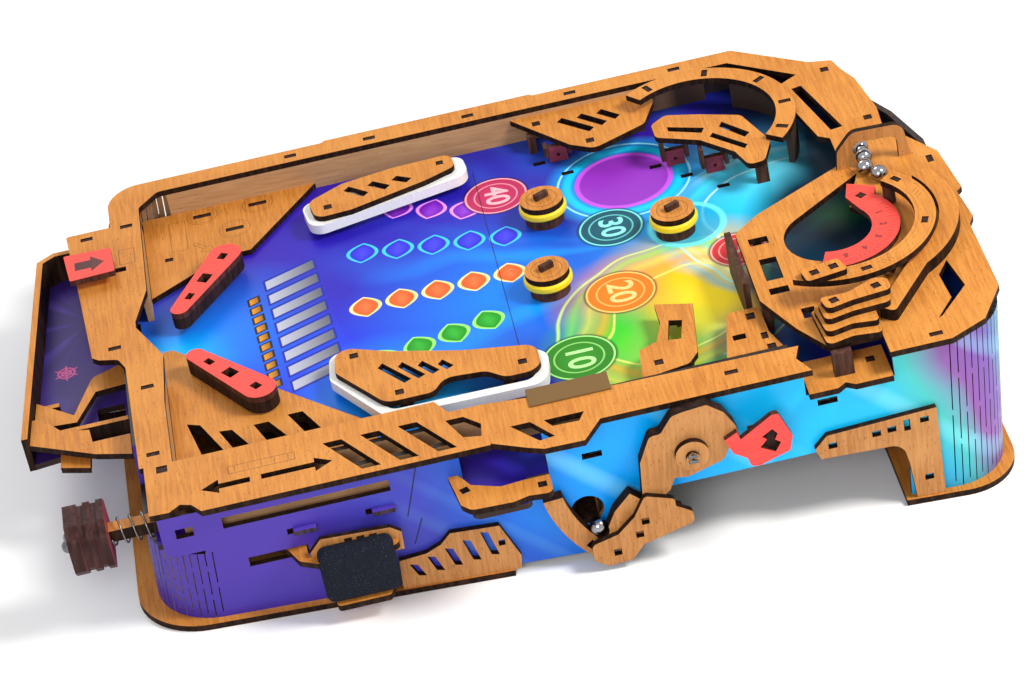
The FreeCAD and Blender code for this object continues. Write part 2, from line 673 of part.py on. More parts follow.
wavyLayers = [
    [(right - 36, wavyFront, 2), (right - 8, wavyFront + 2, 3), (right - 11, wavyBack - 13, 8),
     (right - 9, wavyBack, 2), (right - 36, wavyBack, 3)],
    [(right - 34, wavyFront + 1, 2), (right - 13, wavyFront + 3, 3), (right - 16, wavyBack - 12, 8),
     (right - 14, wavyBack, 2), (right - 34, wavyBack, 3)],
    [(right - 33, wavyFront + 3, 2), (right - 18, wavyFront + 4, 3), (right - 21, wavyBack - 10, 8),
     (right - 22, wavyBack + 7.5, 3), (right - 36, wavyBack + 7.5, 3), (right - 38, wavyBack + 2, 3),
     (right - 31.5, wavyBack - 10, 8)],
    [(right - 32, wavyFront + 4, 2), (right - 22, wavyFront + 6, 3), (right - 25, wavyBack - 9, 8),
     (right - 27, wavyBack + 9, 3), (right - 36, wavyBack + 9, 3), (right - 38, wavyBack + 3, 3),
     (right - 31.5, wavyBack - 10, 8)],
]
wavyCuts = [[], [], [], [window(right - 28, wavyBack - 17, 4, 4, 15), window(right - 32, wavyBack + 3, 4, 4, 15)]]
wavySlabs = [slab(outline, ply, index * ply, cuts)
             for index, (outline, cuts) in enumerate(zip(wavyLayers, wavyCuts))]
coverStrap = slab([
    (right - 55, wavyBack - 9, 2), (right - 52, wavyFront, 2), (right - 42, wavyFront + 1.5, 2),
    (right - 45, wavyBack - 6, 2),
], ply, coverLevel + ply, [window(right - 48, wavyFront + 6, 4, 4, 10), window(right - 49.5, wavyBack - 12, 4, 4, 10)])
group("wavy_blocks", wavySlabs + [coverStrap], onDeck(0))
hoopX = right - 150
plate("gate_hoop", [
    (back - 45, 0), (back - 44, 10, 5), (back - 36, 19, 6), (back - 12, 18, 6), (back - 9, 0),
    (back - 15, 0), (back - 15, 12, 4), (back - 34, 13, 4), (back - 39, 6, 3), (back - 39, 0),
], alongDeck(hoopX), [])
plate("end_plate", [
    (right - 20.7, gateGap[0] + 1), (right + 4, gateGap[0] + 1), (right + 4, gateGap[0] + 14),
    (right + 1, gateGap[0] + 18), (right + 4, gateGap[0] + 22), (right + 4, gateGap[1] - 1),
    (right - 20.7, gateGap[1] - 1),
], onDeck(gateLevel), [window(right - 12, gateGap[1] - 8, 4, 4)])

# ------------------------------------------------------------- inner walls
wallHeight = -ply - field
ringWallX = left + 59
ringWallY = back - 99.0


def box(x0, x1, y0, y1):
    return [(x0, y0), (x1, y0), (x1, y1), (x0, y1)]


group("inner_walls", [
    slab(box(innerLeft - ply, innerLeft, 26, 311 - 13), wallHeight),
    slab(box(left + 19, drain[0], 8, 8 + ply), wallHeight),
    slab(box(right - 119, startInner, 10, 10 + ply), wallHeight),
    slab(box(laneX - 8.5, laneX - 5.5, 13, gateGap[0] - 2), wallHeight),
    slab(box(laneX + 5.5, laneX + 8.5, 13, laneMouth[0] - 1), wallHeight),
    slab(box(laneX + 5.5, laneX + 8.5, laneMouth[1] + 1, gateGap[0] - 2), wallHeight),
    slab(band(ringWallX, ringWallY, 44, 47, 150, 60), wallHeight + ply).cut(slab(bonusOutline, 2 * ply, wallHeight)),
], onDeck(field))

# ------------------------------------------------------------------ aprons
leftApron = [
    (innerLeft, 11.3), (left + 79, 11.3), (left + 62, 38), (left + 55, 56), (left + 55, 62), (innerLeft, 99),
]
rightApron = [
    (right - 146, 13.3), (laneX - 8.8, 13.3), (laneX - 8.8, 104), (right - 53, 104), (right - 64, 93),
    (right - 146, 18),
]
group("aprons", [
    slab(leftApron, ply, cuts=[window(innerLeft + 7, 41, 3, 9), window(innerLeft + 7, 69, 3, 9),
                               window(innerLeft + 25, 56, 3, 9), window(innerLeft + 40, 22, 3, 4)]),
    slab(rightApron, ply, cuts=apronSlots + [disc(*rightPivot, shaftHole)]),
], onDeck(field))

# -------------------------------------------------------------- slingshots
plateLevel = -9.0
rightSling = [
    (right - 105, 93, 7), (right - 85, 91, 7), (right - 53, 111, 8), (right - 53, 133, 6),
    (right - 62, 139, 8), (right - 60, 158, 8), (right - 52, 166, 7), (right - 52, 183, 8),
    (right - 72, 183, 8), (right - 80, 150, 10), (right - 92, 118, 10),
]
slingSlots = [[(right - 84 + 2.5 * k, 113 + 9 * k), (right - 81 + 2.5 * k, 110.5 + 9 * k),
               (right - 65 - k, 121 + 6.7 * k), (right - 67 - k, 124.5 + 6.7 * k)] for k in range(4)]
leftSling = [
    (left + 39, 94, 6), (left + 55, 96, 6), (left + 54, 114, 8), (left + 43, 152, 8), (left + 36, 168, 5),
    (left + 24, 167, 5), (left + 25, 137, 6), (left + 29, 112, 8),
]
leftSlots = [[(left + 33, 115 + 12 * k), (left + 36, 112 + 12 * k), (left + 45 - 2 * k, 121 + 11 * k),
              (left + 42 - 2 * k, 124 + 11 * k)] for k in range(3)]
group("slingshot_plates", [
    slab(leftSling, ply, cuts=leftSlots + [window(left + 47, 103, 4, 4), window(left + 30, 161, 3.5, 3.5)]),
    slab(rightSling, ply, cuts=slingSlots + [window(right - 95, 101, 4, 4), window(right - 61, 175, 4, 4),
                                             window(right - 59, 118, 4, 4)]),
], onDeck(plateLevel))
rightBand = [
    (right - 107, 90, 7), (right - 84, 88, 7), (right - 46, 110, 8), (right - 45, 184, 9), (right - 70, 188, 9),
]
rightBandHole = [
    (right - 102, 95, 5), (right - 85, 93, 5), (right - 51, 113, 6), (right - 50, 179, 6), (right - 67, 182, 6),
]
leftBand = [(left + 36, 90, 6), (left + 59, 93, 7), (left + 41, 174, 8), (left + 22, 172, 6)]
leftBandHole = [(left + 41, 95, 4), (left + 53, 97, 4), (left + 37, 168, 5), (left + 26, 167, 4)]
bandHeight = 5.0
group("slingshot_bands", [
    slab(leftBand, bandHeight, cuts=[leftBandHole]), slab(rightBand, bandHeight, cuts=[rightBandHole]),
], onDeck(plateLevel - bandHeight))

# ----------------------------------------------------------------- bumpers
bumperSpots = [(right - 189.5, 204.0), (right - 129.0, 197.0), (right - 155.0, 262.0)]
ringLevel = 5.5
ringHeight = 4.0
capLevel = ringLevel + ringHeight
stemRadius = 6.0
keyWide = 7.0
keyThick = 2.6


def bumperPost(x, y):
    base = rod(size("bumperBase"), ringLevel, x, y)
    stem = rod(stemRadius, ringHeight, x, y, ringLevel)
    key = slab(window(x, y, keyWide, keyThick, 115), 2 * ply, capLevel)
    return base.fuse([stem, key]).removeSplitter()


def bumperRing(x, y):
    ring = rod(size("bumperRing"), ringHeight, x, y, ringLevel)
    rounded = ring.makeFillet(1.4, [e for e in ring.Edges if e.Length > 2 * size("bumperRing")
                                    and e.Curve.TypeId == "Part::GeomCircle"])
    return rounded.cut(rod(stemRadius, ringHeight, x, y, ringLevel))


group("bumper_posts", [bumperPost(*spot) for spot in bumperSpots], onDeck(field))
group("bumper_rings", [bumperRing(*spot) for spot in bumperSpots], onDeck(field))
group("bumper_caps", [slab(disc(*spot, size("bumperCap")), ply, capLevel,
                           [window(*spot, keyWide, keyThick, 115)]) for spot in bumperSpots], onDeck(field))

# -------------------------------------------- plates at the upper left
deflectorLevel = -8.0
plate("deflector_plate", [
    (innerLeft, 200), (innerLeft, 268), (left + 19, 271, 3), (left + 38, 263, 5), (left + 50, 236, 6),
    (left + 42, 225, 4),
], onDeck(deflectorLevel), [
    [(left + 16, 225), (left + 19, 222), (left + 34, 236), (left + 31, 239)],
    [(left + 16, 235), (left + 19, 232), (left + 31, 243), (left + 28, 246)],
    [(left + 16, 245), (left + 19, 242), (left + 28, 250), (left + 25, 253)],
    window(left + 16, 212, 4, 4), window(left + 42, 235, 4, 4),
])
plate("loop_arch", band(ringWallX, ringWallY, 38, 47.5, 218, 48), onDeck(0),
      [window(ringWallX + 43 * math.cos(math.radians(a)), ringWallY + 43 * math.sin(math.radians(a)), 3, 6, a + 90)
       for a in (205, 165, 125, 90, 60)])
plate("target_cover", [
    (left + 49, back - 121, 4), (left + 61, back - 121, 4), (left + 72, back - 101, 3), (left + 89, back - 87, 3),
    (left + 103, back - 83, 4), (left + 102, back - 75, 4), (left + 86, back - 69, 5), (left + 58, back - 78, 5),
    (left + 49, back - 97, 4), (left + 43, back - 113, 4),
], rimLevel, [
    [(left + 54, back - 114), (left + 58, back - 114), (left + 66, back - 99), (left + 62, back - 97)],
    [(left + 68, back - 94), (left + 71, back - 96), (left + 88, back - 82), (left + 85, back - 80)],
    [(left + 60, back - 88), (left + 64, back - 90), (left + 78, back - 80), (left + 75, back - 77)],
])

# --------------------------------------------------------- deck brackets
bracketLevel = -12.0
islandPlate = slab([
    (right - 126, gateGap[0] + 6), (right - 114, gateGap[0] - 7), (right - 57, gateGap[0] - 7),
    (right - 30, gateGap[0] + 4), (right - 12, gateGap[0] + 14), (right - 12, gateGap[1] - 1.3),
    (ringX + floorRadius, gateGap[1] - 1.3), (ringX, ringY, floorRadius, 9, -145),
    (right - 141, back - 37.3), (right - 152, back - 42.3),
], ply, -ply - bracketLevel, [
    window(right - 104, gateGap[0] + 2, 6, 9), window(right - 80, gateGap[0] + 3, 18, 8),
    window(right - 62, gateGap[0] + 3, 5, 9), window(right - 40, gateGap[0] + 12, 8, 6),
])
islandFront = gateGap[0]
group("deck_brackets", [
    islandPlate,
    slab([(right - 86, 240), (right - 80, 257), (right - 42, 252, 3), (right - 35, 247, 3), (right - 31, 225),
          (right - 53, 227), (right - 57, 236), (right - 70, 240)], ply,
         cuts=[[(right - 71, 244), (right - 69, 250), (right - 55, 247), (right - 56, 241)],
               window(right - 41, 234, 4, 4)]),
    slab([(right - 66, islandFront - 22, 3), (right - 66, islandFront - 7), (right - 45, islandFront - 6.5),
          (right - 27, islandFront - 1, 2), (right - 26, islandFront - 26, 4), (right - 32, islandFront - 28.5, 3)],
         ply, cuts=[window(right - 60, islandFront - 12, 5, 4), window(right - 46, islandFront - 20, 4, 6),
                    window(right - 43, islandFront - 9, 5, 3), window(right - 34, islandFront - 7.5, 4, 4)]),
], onDeck(bracketLevel))

# -------------------------------------------------------------- posts
targets = [
    ("target_left", left + 33.0, 219.0), ("target_middle", left + 60.0, 273.0), ("target_right", left + 74.0, 290.0),
]
axleLevel = -10.5
targetTop = 1.6
lugThick = 2.0
targetWidth = size("targetWidth")
axleReach = targetWidth / 2 + 0.3 + lugThick


def slingPost(x, y):
    return rod(3.2, plateLevel - field, x, y, field)


def deckPost(x, y, top, wide=4.0, deep=4.0):
    return slab(window(x, y, wide, deep), top - field, field)


def targetLug(x, y, top):
    cheek = Part.makeBox(6, lugThick, top - axleLevel + 3, Vector(x - 3, y - lugThick / 2, axleLevel - 3))
    bore = rod(size("targetAxle") + run, lugThick + 2, x, y - lugThick / 2 - 1, axleLevel, Vector(0, 1, 0))
    return cheek.cut(bore)


posts = [
    slingPost(left + 47, 108), slingPost(left + 33, 150),
    slingPost(right - 90, 103), slingPost(right - 64, 168), slingPost(right - 66, 120),
    deckPost(left + 22, 262, deflectorLevel), deckPost(left + 20, 208, deflectorLevel),
    deckPost(left + 66, back - 82, -ply, 3, 8), deckPost(left + 92, back - 76, -ply, 3, 6),
    deckPost(right - 47, 248, bracketLevel), deckPost(right - 79, 250, bracketLevel),
    deckPost(right - 52, 279, bracketLevel), deckPost(right - 36, 279, bracketLevel),
    deckPost(right - 120, gateGap[0] + 3, -ply), deckPost(right - 60, gateGap[0] - 4, -ply),
    deckPost(right - 28, gateGap[0] + 20, -ply, 5, 5),
]
posts += [slab(window(coverX + 39 * math.cos(math.radians(a)), coverY + 39 * math.sin(math.radians(a)), 3, 5, a),
               coverLevel, 0) for a in (128,)]
posts.append(slab(window(right - 89, gateGap[0] - 11, 44, ply), 4 - field, field))
posts.append(slab(window(right - 6, gateGap[0] + 19, 4, 9), 12, gateLevel + ply))
for name, x, y in targets:
    top = deflectorLevel if name == "target_left" else -ply
    posts.append(targetLug(x, y - axleReach + lugThick / 2, top))
    posts.append(targetLug(x, y + axleReach - lugThick / 2, top))
group("support_posts", posts, deck)

# -------------------------------------------------------- swinging targets
for name, x, y in targets:
    body = newBody(name, onDeck(0, x, y))
    half = targetWidth / 2
    padOn(body, [box(-half, half, axleLevel + targetTop - size("targetHeight"), axleLevel + targetTop),
                 disc(0, axleLevel - 3.2, 0.9)],
          "Sizes.ply", name + "Blade", "YZ_Plane", Placement(Vector(0, 0, -ply / 2), Rotation()))
    padOn(body, [disc(0, axleLevel, size("targetAxle"))], 2 * axleReach, name + "Axle", "XZ_Plane",
          Placement(Vector(0, 0, -axleReach), Rotation()))

# ------------------------------------------------------------- front tray
trayFloor = field - 2 * ply
traySeat = (frontFace + trayFloor * math.sin(slope)) / math.cos(slope)
trayOutline = [
    (right - 94, traySeat), (right - 88, -52), (right - 232, -38.5), (right - 236, -32.5), (right - 236, traySeat),
]
trayHole = box(right + chuteAt - 5.5, right + chuteAt + 5.5, -21, -8)
plate("tray_floor", trayOutline, onDeck(trayFloor), [trayHole])
trayTop = -6.0
group("tray_walls", [
    slab([(right - 88, -52), (right - 88, -55), (right - 233.5, -41.4), (right - 239, -33.2), (right - 239, traySeat),
          (right - 236, traySeat), (right - 236, -32.5), (right - 232, -38.5)],
         trayTop - trayFloor, trayFloor),
    slab([(right - 107, -50), (right - 108, -46), (right - 94, -37), (right - 90, -24), (right - 80, -23),
          (right - 80, traySeat), (right - 64, traySeat), (right - 70, -22), (right - 88, -51.8)], ply, -13),
    slab([(right - 126, -48), (right - 110, -31), (right - 137, -21, 6), (right - 144, traySeat),
          (right - 126, traySeat), (right - 125, -20), (right - 104, -30), (right - 106, -50)], ply, -17),
    slab(box(right - 99, right - 96, -48, traySeat - 0.5), -13 - trayFloor - ply, trayFloor + ply),
    slab(box(right - 127, right - 124, -45, -38), -17 - trayFloor - ply, trayFloor + ply),
    slab([(right - 92, -38.5), (right - 86, -25), (right - 69, -26), (right - 74, -39.5)], ply, -19),
    slab(box(right - 88, right - 85, -36, -29), ply, -16),
], deck)

# ------------------------------------------------- lane bracket and channel
guard = [
    (right, laneMouth[0] - 6.5), (right, laneMouth[0] - 2), (right + 9, 139.5), (right + 15, 152, 5),
    (right + 14, 163), (right + 14, 174), (right + 27.5, 174, 3), (right + 26, 163), (right + 28, 156),
    (right + 27, laneMouth[0] + 0.5, 5), (right + 22, laneMouth[0] - 3.5),
]
plate("lane_bracket", guard, onDeck(field), [window(right + 12, 136.5, 4, 4, 20), window(right + 20, 170, 4, 4)])
channelOuter = 69.0
channelInner = ball / 2 + 56.2
px, py = liftPivot
channel = [
    (px, py, channelInner, 191, 227), (px, py, channelOuter, 223, 190),
]
plate("lift_channel", channel, alongDeck(right), [
    window(px + 64.6 * math.cos(math.radians(219)), py + 64.6 * math.sin(math.radians(219)), 4, 4, 40),
], thick="2 * Sizes.ply")

# -------------------------------------------------------------- ball lift
pinRadius = size("liftPin")
armGap = over + 0.3
armThick = 2 * ply
discThick = ply
pinTurn = Vector(1, 0, 0)
pin = rod(pinRadius, ply + armGap + armThick + clear + discThick + 2.2, right - ply, px, py, pinTurn)
washer = rod(6.0, armGap - 0.3, right, px, py, pinTurn)
capDisc = rod(7.6, discThick, right + armGap + armThick + clear, px, py, pinTurn)
split = Part.makeBox(1.0, 0.9, 2 * pinRadius + 1, Vector(right + armGap + armThick + clear + discThick + 1.3, px - 0.45,
                                                        py - pinRadius - 0.5))
group("lift_pivot", [pin.fuse([washer, capDisc]).cut(split).removeSplitter()], deck)

lift = deck.multiply(Placement(Vector(right + armGap, px, py), sideTurn))
armOutline = [
    (10, 23, 3), (17, 17, 3), (21, 9), (22.5, 3, 2), (17, -2), (14, -8, 4), (-3, -13, 5), (-9, -12),
    (-12, -18), (-22, -26), (-25, -23), (-23, 0, 3), (-17, 13, 3), (-12, 13, 3), (-6, 21, 3), (-1, 22, 3),
]
ballAt = (-46.0, -32.0)
hug = ball / 2 + 0.3
cradleReach = channelInner - 0.6
hugTurn = math.degrees(math.acos((cradleReach ** 2 - math.hypot(*ballAt) ** 2 - hug ** 2)
                                 / (2 * math.hypot(*ballAt) * hug)))
ballTurn = math.degrees(math.atan2(*reversed(ballAt))) + 360
hugEnd = arcPoint((*ballAt, hug), ballTurn + hugTurn)
cradleTurn = math.degrees(math.atan2(hugEnd.y, hugEnd.x)) + 360
cradle = [
    (-25, -20), (-8, -30), (-6, -37), (-28, -42), (0, 0, cradleReach, 236, cradleTurn),
    (*ballAt, hug, ballTurn + hugTurn, 380), (-38, -23), (-30, -15),
]
scoop = [
    (-51, -36.5, 3), (-38.5, -33.5), (-30, -26), (-24, -16, 2), (-11, -21, 2), (-11, -25), (-4, -30, 2),
    (-4, -36, 3), (-28, -42), (-34, -49, 3), (-45, -49.5, 3), (-51, -45, 3),
]
arm = slab(armOutline, armThick).fuse(slab(cradle, armThick)).cut(rod(pinRadius + run, armThick)).removeSplitter()
scoopPlate = slab(scoop, ply, armThick, [window(-25.5, -29.5, 3.5, 3.5), window(-29, -36, 3.5, 3.5),
                                         window(-40, -43, 3.5, 3.5)])
group("lift_lever", [arm, scoopPlate], lift)
tabOutline = [(21, 2), (37, 12, 1.5), (40, 12, 1.5), (45, -1.5, 1.5), (43, -9, 1.5), (29, -13.5, 1.5), (25, -13, 1.5)]
group("lift_tab", [slab(tabOutline, ply, armThick, [[(30, -4), (33.5, -0.5), (31.5, 1.5), (36.5, 4.5), (38.5, 1.5),
                                                     (37, -1.5), (39.5, -3.5), (36.5, -8)]])
                   .fuse(slab([(15, 4), (21, 7), (25, -9), (18, -4)], ply, armThick)).removeSplitter()], lift)
group("lift_ball", [placed(Part.makeSphere(ball / 2, Vector(ballAt[0], ballAt[1], ball / 2 + 1.0 - armGap)), lift)])

# ---------------------------------------------------------------- flippers
flipperLength = size("flipperLength")
heel = size("flipperHeel")
tip = size("flipperTip")
tangent = math.degrees(math.acos((heel - tip) / flipperLength))
flipperOutline = [(0, 0, heel, tangent, 360 - tangent), (flipperLength, 0, tip, -tangent, tangent)]
coreLevel = field + ply + size("flipperLift")
coreThick = 2 * ply
shaftRadius = size("shaftRadius")
crankLevel = -size("rodLevel") - ply / 2
crankLength = size("crankLength")
crankPin = size("crankPin")
crankStart = size("crankStart")
crankTangent = math.degrees(math.acos((shaftRadius - crankPin) / crankLength))
middleWindow = window(flipperLength * 0.45, 0, 7, 5.5)
topWindows = [window(flipperLength * 0.05, 0, 5, 4), window(flipperLength * 0.78, 0, 5, 3.4)]
for side, pivot, restTurn, crankTurn in (
        ("left", leftPivot, -33.0, -90.0 - crankStart), ("right", rightPivot, 215.5, -90.0 + crankStart)):
    body = newBody("flipper_" + side, onDeck(coreLevel, *pivot, restTurn))
    padOn(body, [flipperOutline, middleWindow], "2 * Sizes.ply", side + "Core")
    padOn(body, [disc(0, 0, shaftRadius)], coreLevel - crankLevel, side + "Shaft", reverse=True)
    padOn(body, [[(0, 0, shaftRadius, crankTangent, 360 - crankTangent),
                  (crankLength, 0, crankPin, -crankTangent, crankTangent)]], "Sizes.ply", side + "Crank",
          offset=Placement(Vector(0, 0, crankLevel - coreLevel), Rotation(Vector(0, 0, 1), crankTurn - restTurn)))
    plate(f"flipper_{side}_top", flipperOutline, onDeck(coreLevel + coreThick, *pivot, restTurn),
          [middleWindow] + topWindows)

# --------------------------------------------------------- flipper buttons
padReach = size("buttonReach")
padWidth = size("padWidth")
standOff = 7.0
rodWide = 8.0
noseLength = 7.0
pinStart = crankLength * math.sin(math.radians(crankStart)) + crankPin + clear
for side, sign, pivot in (("right", 1, rightPivot), ("left", -1, leftPivot)):
    sidePanel = sign * right
    inner = pivot[0] * sign + pinStart
    rodY = pivot[1] - crankLength
    keep = [
        (inner, rodY - crankPin), (inner + noseLength, rodY - rodWide / 2), (right - 10, rodY - rodWide / 2),
        (right, slotEnd - 9), (right + padReach - 6, slotEnd - 5, 2), (right + padReach - 1, slotEnd + 3, 3),
        (right + padReach - 2.5, 104, 4), (right + standOff, 103, 2), (right + standOff, slotEnd),
        (right + standOff - 0.6, slotEnd - 0.6), (right - 4, slotEnd - 1), (right - 12, rodY + rodWide / 2),
        (inner + noseLength, rodY + rodWide / 2), (inner, rodY - 0.6),
    ]
    lowPlate = [(right + standOff, 70), (right + padReach + 1.5, 71, 2), (right + padReach + 1.5, 95, 2),
                (right + standOff, 99)]
    if sign < 0:
        keep = mirrored(keep)
        lowPlate = mirrored(lowPlate)
    padBase = crankLevel - size("padHeight")
    group("button_" + side, [slab(keep, ply, crankLevel), slab(lowPlate, ply, padBase - ply)], deck)
    padBox = Part.makeBox(padReach - standOff, padWidth, size("padHeight"),
                          Vector(right + standOff if sign > 0 else left - padReach, 66, padBase))
    outerEdges = [e for e in padBox.Edges if abs(abs(e.CenterOfMass.x) - (right + padReach)) < 0.01]
    group("pad_" + side, [padBox.makeFillet(3.0, outerEdges)], deck)

# ---------------------------------------------------------------- plunger
plungerLevel = -size("plungerDrop")
knobFront = -38.0
knobLength = size("knobLength")
knobHalf = size("knobAcross") / 2
rodHalf = 3.5
rodEnd = 34.0
plungerRod = newBody("plunger_rod", onDeck(plungerLevel, laneX, knobFront + knobLength))
rodLength = rodEnd - knobFront - knobLength
padOn(plungerRod, [box(-rodHalf, rodHalf, 0, rodLength)], "2 * Sizes.ply", "plungerRodPad",
      offset=Placement(Vector(0, 0, -ply), Rotation()))
chamfer = knobHalf * 0.42
octagon = [
    (-knobHalf, -knobHalf + chamfer), (-knobHalf + chamfer, -knobHalf), (knobHalf - chamfer, -knobHalf),
    (knobHalf, -knobHalf + chamfer), (knobHalf, knobHalf - chamfer), (knobHalf - chamfer, knobHalf),
    (-knobHalf + chamfer, knobHalf), (-knobHalf, knobHalf - chamfer),
]
slim = [(x * 0.93, y * 0.93) for x, y in octagon]
layers = []
layerCount = 6
layerThick = knobLength / layerCount
for index in range(layerCount):
    layers.append(slab(slim if index in (1, 3) else octagon, layerThick, index * layerThick))
boltHeads = []
for offset in (-7.0, 7.0):
    head = Part.makeSphere(3.0, Vector(offset, offset * 0.4, knobLength))
    keepFront = Part.makeBox(10, 10, 5, Vector(offset - 5, offset * 0.4 - 5, knobLength))
    boltHeads.append(head.common(keepFront))
knobPlace = deck.multiply(Placement(Vector(laneX, knobFront + knobLength, plungerLevel), crossTurn))
group("plunger_knob", layers + boltHeads, knobPlace)

springRadius = size("springRadius")
springWire = size("springWire")
springFrom = knobFront + knobLength + springWire / 2 + 0.1
springTo = frontFace + 3.3
springTurns = 4
wireSides = 6
helix = Part.makeHelix((springTo - springFrom) / springTurns, springTo - springFrom, springRadius)
wireCorners = [Vector(springRadius + springWire / 2 * math.cos(2 * math.pi * side / wireSides), 0,
                      springWire / 2 * math.sin(2 * math.pi * side / wireSides)) for side in range(wireSides)]
coil = Part.Wire(helix).makePipeShell([Part.makePolygon(wireCorners + wireCorners[:1])], True, True)
group("plunger_spring", [coil], deck.multiply(Placement(Vector(laneX, springFrom, plungerLevel),
                                                        Rotation(Vector(1, 0, 0), -90))))

# ------------------------------------------------------------ reset slider
tabHigh = 4.0
resetTab = slab([(resetX - 11.5, -26, 1), (resetX + 11.5, -24, 1), (resetX + 10.5, -2, 1), (resetX - 10.5, -3, 1)],
                ply, tabHigh)
resetStalk = slab(window(resetAt[0], resetAt[1], 3, 9), tabHigh + ply + 2, -ply - 2)
resetKeeper = slab(window(resetAt[0], resetAt[1], 8, 9), 2, -ply - 2 - 0.3)
group("reset_slider", [resetTab.fuse([resetStalk, resetKeeper]).removeSplitter()], deck)

# ------------------------------------------------------------- loose balls
ballSpots = [(right - 54.8, back - 42, 0.2), (right - 59.2, back - 34.2, 0.2), (right - 131, back - 28, 0.2),
             (right - 139, back - 33, 0.2), (right - 147.6, back - 31.5, 0.2), (right - 155.9, back - 31.5, 0.2)]
group("steel_balls", [Part.makeSphere(ball / 2, Vector(x, y, z + ball / 2)) for x, y, z in ballSpots], deck)

# --------------------------------------------------------- check and write
doc.recompute()
for item in doc.Objects:
    if "Invalid" in item.State or "Error" in item.State:
        raise RuntimeError(f"{item.Label}: {item.State}")
for piece in pieces:
    if piece.Shape.isNull() or not piece.Shape.isValid():
        raise RuntimeError(f"{piece.Label}: bad shape")

whole = Part.makeCompound([piece.Shape for piece in pieces]).optimalBoundingBox()
stand = Placement(Vector(-(whole.XMin + whole.XMax) / 2, -(whole.YMin + whole.YMax) / 2, -whole.ZMin), Rotation())
for piece in pieces:
    piece.Placement = stand.multiply(piece.Placement)
doc.recompute()

os.makedirs("parts", exist_ok=True)
for piece in pieces:
    piece.Shape.exportStep(f"parts/{piece.Label}.step")
print(f"{len(pieces)} pieces, origin moved by", [round(v, 4) for v in stand.Base],
      "box", [round(v, 2) for v in (whole.XLength, whole.YLength, whole.ZLength)])
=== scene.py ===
import bpy
import math
from mathutils import Matrix, Vector


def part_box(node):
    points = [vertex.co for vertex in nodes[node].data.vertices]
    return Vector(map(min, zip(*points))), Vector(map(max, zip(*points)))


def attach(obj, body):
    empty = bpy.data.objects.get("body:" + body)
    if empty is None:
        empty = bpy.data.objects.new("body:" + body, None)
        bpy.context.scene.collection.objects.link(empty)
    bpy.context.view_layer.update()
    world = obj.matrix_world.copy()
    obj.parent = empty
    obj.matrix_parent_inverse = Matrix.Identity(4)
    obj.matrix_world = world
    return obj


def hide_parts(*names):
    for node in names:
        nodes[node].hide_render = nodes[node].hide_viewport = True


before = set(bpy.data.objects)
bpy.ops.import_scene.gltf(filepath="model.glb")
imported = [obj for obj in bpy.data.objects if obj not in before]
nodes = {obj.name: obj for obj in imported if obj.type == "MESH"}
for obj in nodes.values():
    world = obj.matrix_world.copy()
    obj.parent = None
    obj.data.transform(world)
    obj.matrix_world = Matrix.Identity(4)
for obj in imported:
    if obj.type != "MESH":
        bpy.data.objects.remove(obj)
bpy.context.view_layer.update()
print("frame loaded:", len(nodes), "nodes")

# where the deck lies: its millimetres run across, along and up from the middle of its front edge
game = {
    "halfWidth": 0.136,
    "frontFace": -0.004,
    "frontHeight": 0.064,
    "tilt": math.radians(3.6),
    "back": 0.386,
    "fieldLevel": -17.93,  # just over the printed board
}
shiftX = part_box("panel_right_middle")[1].x - game["halfWidth"]
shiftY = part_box("panel_front")[0].y - game["frontFace"]
deckTurn = Matrix.Rotation(game["tilt"], 4, "X")
deckPlace = Matrix.Translation((shiftX, shiftY, game["frontHeight"])) @ deckTurn
deckNormal = deckTurn @ Vector((0, 0, 1))
deckAxis = (0, deckNormal.y, deckNormal.z)
sideAxis = (1, 0, 0)
frontAxis = (0, 1, 0)
upAxis = (0, 0, 1)
noAxis = (0, 0, 0)
rightX = game["halfWidth"] * 1000
leftX = -rightX
backY = game["back"] * 1000


def onDeckAt(x, y, level, turn=0.0):
    place = Matrix.Translation((x / 1000, y / 1000, level / 1000))
    return deckPlace @ place @ Matrix.Rotation(math.radians(turn), 4, "Z")


def aroundAt(centre, radius, angle):
    turn = math.radians(angle)
    return centre[0] + radius * math.cos(turn), centre[1] + radius * math.sin(turn)


# camera and lamps
camera = {
    "place": (1438.947, 129.086, 951.489),
    "right": (0.14742, 0.98331, -0.10662),
    "up": (-0.55081, 0.17115, 0.81689),
    "lens": 130.08,
}
camData = bpy.data.cameras.new("cameraMain")
camData.lens = camera["lens"]
camData.sensor_width = 36
camData.clip_end = 20
cam = bpy.data.objects.new("cameraMain", camData)
bpy.context.scene.collection.objects.link(cam)
camRight = Vector(camera["right"]).normalized()
camBack = camRight.cross(Vector(camera["up"])).normalized()
camTurn = Matrix((camRight, camBack.cross(camRight), camBack)).transposed()
camPlace = onDeckAt(*camera["place"]).translation
cam.matrix_world = Matrix.Translation(camPlace) @ camTurn.to_4x4()
bpy.context.scene.camera = cam

lampAim = Vector((0, 0, 0.05))
lamps = [
    {"name": "lampKey", "place": (0.35, 0.80, 1.05), "wide": 0.40, "power": 17.0, "tint": (1.0, 0.97, 0.92)},
    {"name": "lampFill", "place": (1.2, -0.35, 0.70), "wide": 0.7, "power": 8.0, "tint": (0.97, 0.98, 1.0)},
    {"name": "lampBack", "place": (-0.7, -0.4, 0.9), "wide": 0.6, "power": 4.0, "tint": (1.0, 1.0, 1.0)},
]
for look in lamps:
    lampData = bpy.data.lights.new(look["name"], "AREA")
    lampData.shape = "DISK"
    lampData.size = look["wide"]
    lampData.energy = look["power"]
    lampData.color = look["tint"]
    lamp = bpy.data.objects.new(look["name"], lampData)
    bpy.context.scene.collection.objects.link(lamp)
    lamp.location = look["place"]
    lamp.rotation_euler = (lampAim - lamp.location).to_track_quat("-Z", "Y").to_euler()


